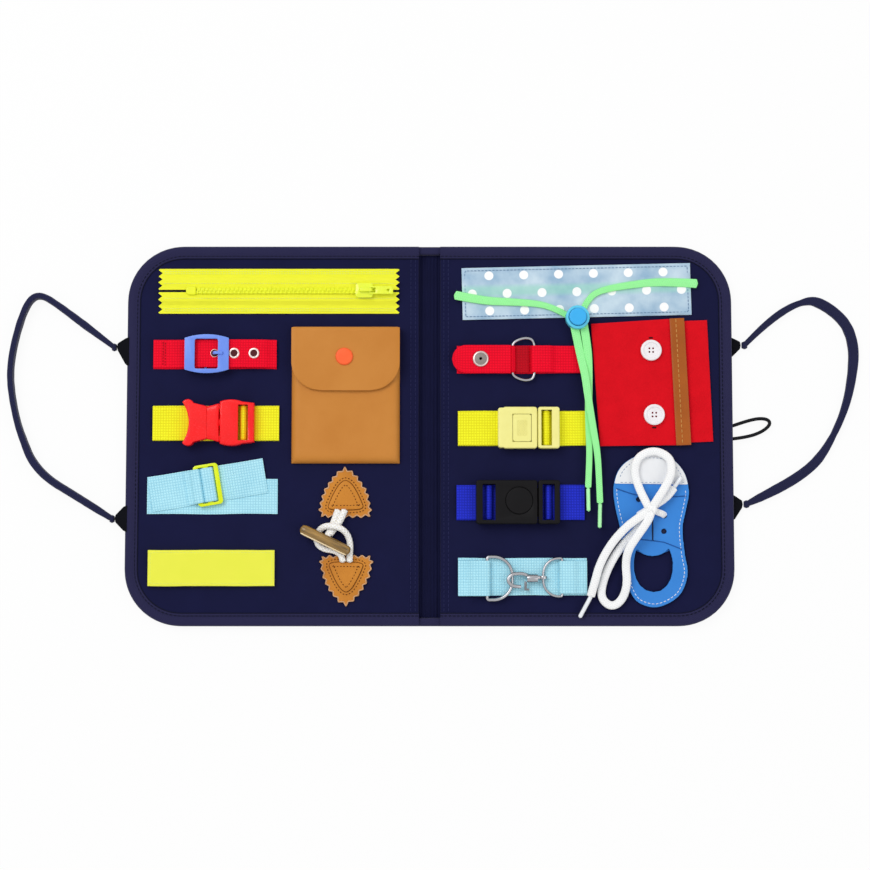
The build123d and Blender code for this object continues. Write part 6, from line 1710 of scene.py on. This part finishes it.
@dataclass
class FeltFlap:
    """Two layers of felt, a leather band along one edge, and two buttons through slits."""

    under: Route = ((115.5, 79.4), (198.6, 82.3), (202.1, -4.9), (121.4, -8.3))
    flap: Route = ((115.5, 79.4), (176.5, 83.3), (180.5, -7.6), (121.4, -8.3))
    band: Route = ((171.5, 83.1), (181.9, 83.5), (186, -7.5), (175.5, -7.9))
    slits: tuple[Pair, ...] = ((158.1, 66.7), (159.9, 7.5))
    levels: tuple[float, ...] = (TOP, 8.6, 10.2, 11.4)
    seam_share: float = 0.42  # of the band's width, from its left edge to its stitches

    def build(self) -> None:
        """Builds the felt, the band with its stitches, and the buttons."""
        base = build("felt_under_layer", patch(self.under, *self.levels[:2], 1.5, 0.2, 26.0, 121), RED_FELT,
                     RIGHT, ["felt_base"])
        flap = build("felt_front_flap", patch(self.flap, *self.levels[1:3], 1.3, 0.35, 30.0, 122), RED_FELT,
                     RIGHT, ["felt_flap"])
        build("felt_band", patch(self.band, *self.levels[2:], 1.5, 0.3, 16.0, 123), BAND_LEATHER, RIGHT,
              ["felt_leather_band"])
        corners = np.array(self.band)
        row = corners[[0, 3]] * (1 - self.seam_share) + corners[[1, 2]] * self.seam_share
        build("felt_band_stitches", seams([at_height(row, 11.28)], 3.6, 2.4, 0.36), TAN_THREAD, RIGHT)
        # painted shade in the buttonhole slits
        marks = [line((x - 1.7, y + 2.6 * way, 10.0), (x + 1.7, y + 2.6 * way, 10.0))
                 for (x, y), way in zip(self.slits, (1, -1))]
        build("felt_slit_painted_shades", seams(marks, 3.4, 3.2, 0.6), SLIT_SHADE, RIGHT)
        hard_piece("felt_resin_buttons", "felt_buttons", BUTTON_RESIN, 0.4)


@dataclass
class Shoe:
    """A shoe front with punched holes, its tongue, its toe cap and its tied lace."""

    outline: Route = (
        (157.8, -13.8), (150.5, -14.3), (144.3, -16.6), (138, -20.9), (133.4, -27), (131, -35), (130.6, -43),
        (132.2, -54), (135.1, -67), (137, -84), (139.6, -99.7), (141.2, -110), (148, -119.5), (161.5, -122.5),
        (176.5, -114.5), (182.7, -99.7), (180.8, -84), (179.5, -67), (182, -54), (184.2, -43), (183.4, -34),
        (180.6, -26.2), (174.5, -18.8), (166.5, -14.6))
    heel: Route = (
        (146.7, -81.2), (145.4, -86), (144.7, -91), (144.9, -97), (146.3, -102.5), (149, -107.2),
        (153.2, -110.6), (158.5, -111.8), (163.8, -110.8), (168, -107.2), (170.7, -102.5), (172, -97),
        (172.3, -91), (171.4, -86), (169.6, -80.9), (167.2, -83.4), (164.2, -85.2), (161, -86.2),
        (157.8, -86.5), (154.6, -86.2), (151.6, -85.2), (149, -83.6))
    holes: tuple[Pair, ...] = (
        (148.5, -46.2), (166.6, -46.2), (148.5, -57.7), (166.6, -57.7), (150.8, -68.7), (166.2, -68.9))
    hole_radius: float = 1.9
    tongue: tuple[Pair, Pair] = ((143.2, -84), (173.2, -40))
    levels: Pair = (7.9, 9.7)  # under side and upper side of the leather over the tongue
    cap_line: float = -35.8
    cap_middle: Pair = (157.8, -24.0)
    slit: Pair = (158.2, -66.8)
    panel_edges: tuple[Route, ...] = (
        ((132.6, -38.6), (142.8, -42.1), (153.8, -44.7)),
        ((162.4, -45.5), (172.7, -44.4), (182.6, -43.9)),
        ((137.4, -78.6), (143, -76), (149.5, -74.6), (158.2, -75.6)),
        ((158.8, -75.6), (166.4, -76.7), (178.6, -81.6)))
    short_tail: Route = ((160, -50.2, 15.8), (164.5, -47, 14.4), (169.5, -43.4, 13.4), (173.6, -37.4, 13.1))
    long_tail: Route = (
        (154.8, -54.6, 16.0), (151.8, -56.8, 16.6), (144.9, -61.4, 17.8), (138.2, -66.6, 17.8),
        (128.4, -77.4, 16.2), (120, -92.1, 15.4), (116.2, -106.5, 13.8), (113.6, -115.6, 11.4))
    top_loop: Route = (
        (155.2, -52.8, 15.6), (152.5, -47.4, 15), (148.8, -39.6, 13.8), (145.1, -28.1, 12.8),
        (147, -16.6, 12.8), (159, -11, 12.8), (171, -16.6, 12.8), (171.6, -28.1, 16.4), (165.6, -39.6, 18.6),
        (160.4, -47.2, 18.0), (157.4, -52.4, 17.2))
    low_loop: Route = (
        (155.4, -55.6, 15.0), (152.6, -59.4, 14.2), (146, -69.2, 13.2), (136.1, -78.8, 12.2),
        (127.4, -92.1, 11.2), (121.9, -106.5, 9.4), (121.3, -116.5, 9.4), (128.4, -122.6, 9.4),
        (136.1, -118, 9.4), (139.8, -106.5, 12.8), (138.4, -92.1, 13), (140, -82, 17), (146.4, -72.6, 18.2),
        (152, -65, 17.8), (155.4, -59.6, 16.9), (156.6, -55.2, 16.6))
    knot: Triple = (156.1, -53.5, 15.8)
    lace_size: Pair = (5.9, 3.2)
    long_tip: tuple[Triple, Triple] = ((114.0, -114.9, 11.6), (105.8, -130, 10.4))
    short_tip: tuple[Triple, Triple] = ((173.3, -37.8, 13.1), (178.8, -30.4, 13.0))

    def bearing(self, places: Points) -> Points:
        """Angle of each place round the middle of the toe cap."""
        return np.arctan2(places[:, 1] - self.cap_middle[1], places[:, 0] - self.cap_middle[0])

    def build(self) -> None:
        """Builds the leather, the stitch rows and the lace."""
        loop = loop_through(self.outline, 10)
        low, high = self.levels
        holes = [circle(hole, self.hole_radius, 18) for hole in self.holes]
        slit = circle((0, 0), 1, 20) * (0.55, 9.0) + self.slit
        upper = cutout("shoe_leather", [loop, np.array(self.heel, float), slit, *holes], low, high)
        soften(upper, 0.6, 0.25, 20.0, 131)
        finish_piece(upper, SHOE_LEATHER, RIGHT, ["shoe_upper"])
        tongue = rectangle(*self.tongue, [8] * 4, 2.0)
        build("shoe_tongue", pad(tongue, TOP, low, 0.3, 6), TONGUE_LEATHER_IN_SHADE, RIGHT)
        rim = inset(loop, 0.3)
        cap = rim[rim[:, 1] > self.cap_line]
        order = np.argsort(self.bearing(cap))
        cap = evened(cap[order], 1.2)
        build("white_toe_cap", pad(cap, 9.6, 10.4, 0.4, 8, 0.3, 0.15, 14.0, 132), CAP_LEATHER, RIGHT,
              ["toe_cap"])
        edge = inset(loop, 2.4)[loop[:, 1] < self.cap_line - 2]
        build("shoe_white_stitches", seams([at_height(edge, high - 0.08)], 2.9, 1.9, 0.26), WHITE_THREAD,
              RIGHT)
        wide, shade = self.hole_radius + 0.4, low + 0.4
        shades = [turned([(0, low), (wide, low), (wide, shade), (0, shade)], hole, 18) for hole in self.holes]
        x, y = self.slit
        shades.append(pad(rectangle((x - 0.8, y - 9.2), (x + 0.8, y + 9.2), [0.4] * 4, 1.0),
                          low, shade, 0.1, 2))
        build("shoe_hole_shades", joined(shades), HOLE_SHADE, RIGHT)
        rows = [at_height(np.array(row, float), high - 0.02) for row in self.panel_edges]
        build("shoe_panel_edges", seams(rows, 1.0, 1.4, 0.42), PANEL_EDGE, RIGHT)
        # painted shade: a dark line along the slit in the front
        gap = line((x, y + 9.0, high - 0.1), (x, y - 9.0, high - 0.1))
        build("shoe_slit_painted_shade", seams([gap], 1.0, 1.4, 0.5), HOLE_SHADE, RIGHT)
        rim = inset(loop, 3.0)
        rim = rim[rim[:, 1] > self.cap_line + 3.5]
        around = np.mod(self.bearing(rim) + math.pi / 2, 2 * math.pi)
        build("toe_cap_rim_stitches", seams([at_height(rim[np.argsort(around)], 10.38)], 2.6, 1.7, 0.26),
              SATIN_THREAD, RIGHT)
        y = self.cap_line + 1.6
        build("toe_cap_stitches", seams([line((135, y, 10.35), (181, y, 10.35))], 2.9, 1.9, 0.26),
              SATIN_THREAD, RIGHT)
        self.tie()

    def tie(self) -> None:
        """Lays the bow: two loops, one long tail, one short one, the crossings below and the knot."""
        round_lace = soft_box(*self.lace_size, 16, 0.8)
        body, slot, node = RIGHT, "white_lace", "shoelace"
        tip = build("bow_long_tip", rod(*self.long_tip, ring_shape(1.5, 14), 0.8, 0.6), WHITE_TIP, body,
                    ["lace_aglets"])
        for name, points, far_end, fittings in (("bow_long_tail", self.long_tail, "fitting", [tip]),
                                                ("bow_top_loop", self.top_loop, "object", []),
                                                ("bow_low_loop", self.low_loop, "object", [])):
            lay_cord(name, points, round_lace, WHITE_LACE, body, node)
        short = carry(smooth_line("bow_short", self.short_tail), round_lace, blunt=1.0)
        x, y, z = self.knot
        angle = np.linspace(-0.9 * math.pi, 0.9 * math.pi, 50)
        wrap = np.stack([x + 2.6 * np.cos(angle) * 0.75, y + 4.6 * np.sin(angle) * 0.3 - 0.6 * np.cos(angle),
                         z - 0.2 + 3.0 * np.cos(angle)], axis=1)
        knot = turned([(0, z - 4.2), (2.6, z - 3.4), (4.0, z - 1.4), (4.3, z), (3.6, z + 1.6), (2.0, z + 2.6),
                       (0, z + 2.9)], (x, y), 24)
        crossings = short + knot + carry(wrap, soft_box(5.0, 2.6, 14, 0.9), blunt=0.8)
        _, start, stop, last, *_ = self.holes
        across = [(*start, 9.0), (start[0] - 0.8, start[1] - 0.4, 10.9),
                  ((start[0] + stop[0]) / 2, (start[1] + stop[1]) / 2, 12.2),
                  (stop[0] + 0.8, stop[1] + 0.4, 10.9), (*stop, 9.0)]
        end = [(x + 1.5, y - 0.5, z - 2.5), (x + 6, y - 2.2, 13.4), (last[0] - 0.4, last[1] + 0.6, 11.4),
               (*last, 9.0)]
        for name, route, width in (("crossing", across, 0.95), ("crossing_end", end, 0.8)):
            crossings += carry(smooth_line(name, route, 0.8), round_lace * (width, 0.8))
        build("bow_knot_and_crossings", crossings, WHITE_LACE, body, [node])
        build("bow_short_tip", rod(*self.short_tip, ring_shape(1.5, 14), 0.6, 0.6), WHITE_TIP, body)


# ---------------------------------------------------------------- studio
@dataclass
class Studio:
    """A pale floor, a white surround, soft lamps and a camera almost straight above."""

    aim: Triple = (3.85, -0.14, 7.0)
    pitch: float = 5.0
    distance: float = 1465.0
    lens: float = 85.0
    floor_size: float = 6.0
    world_strength: float = 0.56
    paper_glow: float = 0.92  # share of its own light in what is seen of the floor

    def camera(self) -> None:
        """Places the camera: it looks down at the board, tipped towards its lower edge."""
        data = bpy.data.cameras.new("camera")
        data.lens = self.lens
        data.sensor_width = 36.0
        data.clip_end = 20.0
        camera = placed("camera", data)
        tip = math.radians(self.pitch)
        camera.location = (np.array(self.aim) + self.distance
                           * np.array([0, -math.sin(tip), math.cos(tip)])) * MM
        camera.rotation_euler = (tip, 0, 0)
        bpy.context.scene.camera = camera

    def seen(self, tree: Tree) -> Socket:
        """One where the camera, a reflection or a look through glass sees the surface directly."""
        path = put(tree, "ShaderNodeLightPath").outputs
        near = maths(tree, "MAXIMUM", path["Is Camera Ray"], path["Is Glossy Ray"])
        return maths(tree, "MAXIMUM", near, path["Is Transmission Ray"])

    def surround(self) -> None:
        """Makes the world white to the camera and a plain grey to the rest, and lays the floor."""
        world = bpy.data.worlds.new("studio")
        bpy.context.scene.world = world
        tree = blank(world)
        plain, white = (put(tree, "ShaderNodeBackground",
                            inputs={"Color": (1, 1, 1, 1), "Strength": strength})
                        for strength in (self.world_strength, 1.0))
        both = put(tree, "ShaderNodeMixShader",
                   inputs={0: self.seen(tree), 1: plain.outputs[0], 2: white.outputs[0]})
        put(tree, "ShaderNodeOutputWorld", inputs={"Surface": both.outputs[0]})
        half = self.floor_size / 2
        mesh = bpy.data.meshes.new("floor")
        mesh.from_pydata([(-half, -half, 0), (half, -half, 0), (half, half, 0), (-half, half, 0)], [],
                         [(0, 1, 2, 3)])
        floor = placed("floor", mesh)
        paper = bpy.data.materials.new("white_paper_floor")
        tree = blank(paper)
        matt = put(tree, "ShaderNodeBsdfDiffuse", inputs={"Color": (0.9, 0.9, 0.9, 1)})
        glow = put(tree, "ShaderNodeEmission", inputs={"Strength": 1.0})
        share = maths(tree, "MULTIPLY", self.seen(tree), self.paper_glow)
        both = put(tree, "ShaderNodeMixShader", inputs={0: share, 1: matt.outputs[0], 2: glow.outputs[0]})
        put(tree, "ShaderNodeOutputMaterial", inputs={"Surface": both.outputs[0]})
        mesh.materials.append(paper)

    def lamps(self) -> None:
        """Hangs a large key lamp up and to the left, and a fill lamp to the right."""
        for name, place, size, power in (("key", (-1.1, 0.9, 1.9), 1.6, 25.0),
                                         ("fill", (1.5, -0.5, 1.7), 2.0, 10.0)):
            data = bpy.data.lights.new(name, "AREA")
            data.shape = "DISK"
            data.size = size
            data.energy = power
            lamp = placed(name, data)
            lamp.location = place
            away = np.array(place) / np.linalg.norm(place)
            lamp.rotation_euler = (math.acos(away[2]), 0, math.atan2(away[0], -away[1]))

    def build(self) -> None:
        """Sets the studio up."""
        bpy.context.scene.view_settings.view_transform = "Standard"
        self.camera()
        self.surround()
        self.lamps()


def main() -> None:
    """Builds the studio and every sub-assembly in order."""
    logging.basicConfig(level=logging.INFO, format="%(message)s")
    left_points = (
        (-226, 63.1), (-254.4, 84.4), (-268.7, 95), (-278.7, 101), (-286.2, 98.8), (-292.3, 86.8),
        (-298, 65.5), (-300.5, 46.5), (-299.2, 30), (-294.7, 8.7), (-289.4, -5.5), (-284, -18.6),
        (-272.3, -31.5), (-253.3, -42.8), (-226, -59.9))
    right_points = (
        (226, 64.9), (239.1, 78.3), (256.9, 91.7), (271.1, 97.2), (279, 96.5), (291, 89.1), (300.4, 78.7),
        (304.6, 63.1), (303.6, 46.5), (299.5, 25.3), (292.3, 6.3), (281.7, -12.6), (271.1, -24.4),
        (250.9, -37.5), (226, -49.3))
    left_twist = ((0, 0.8), (0.1, 1.25), (0.2, 1.1), (0.3, 1), (0.6, 1), (0.75, 1.3), (0.95, 1.2), (1, 0.9))
    right_twist = (
        (0, 0.5), (0.07, 0.62), (0.14, 0.7), (0.2, 0.6), (0.26, 1), (0.44, 1), (0.52, 0.85), (0.62, 0.66),
        (0.68, 0.6), (0.76, 0.9), (0.9, 0.95), (0.96, 0.8), (1, 0.5))
    assemblies = (Studio(), Closure(), Drawstring(), Shoe(), Toggle(), Covers(), Bindings(), Spine(),
                  Handle("left", left_points, 4.4, 8.6, 4.5, left_twist),
                  Handle("right", right_points, 7.6, 4.4, 2.4, right_twist, 2.15),
                  Zipper(), Belt(), SideRelease(), TriGlide(), HookStrips(), Pouch(), RingStrap(), Buckles(),
                  Clasp(), FeltFlap())
    for assembly in assemblies:
        LOG.info("building %s", type(assembly).__name__)
        assembly.build()


if __name__ == "__main__":
    main()
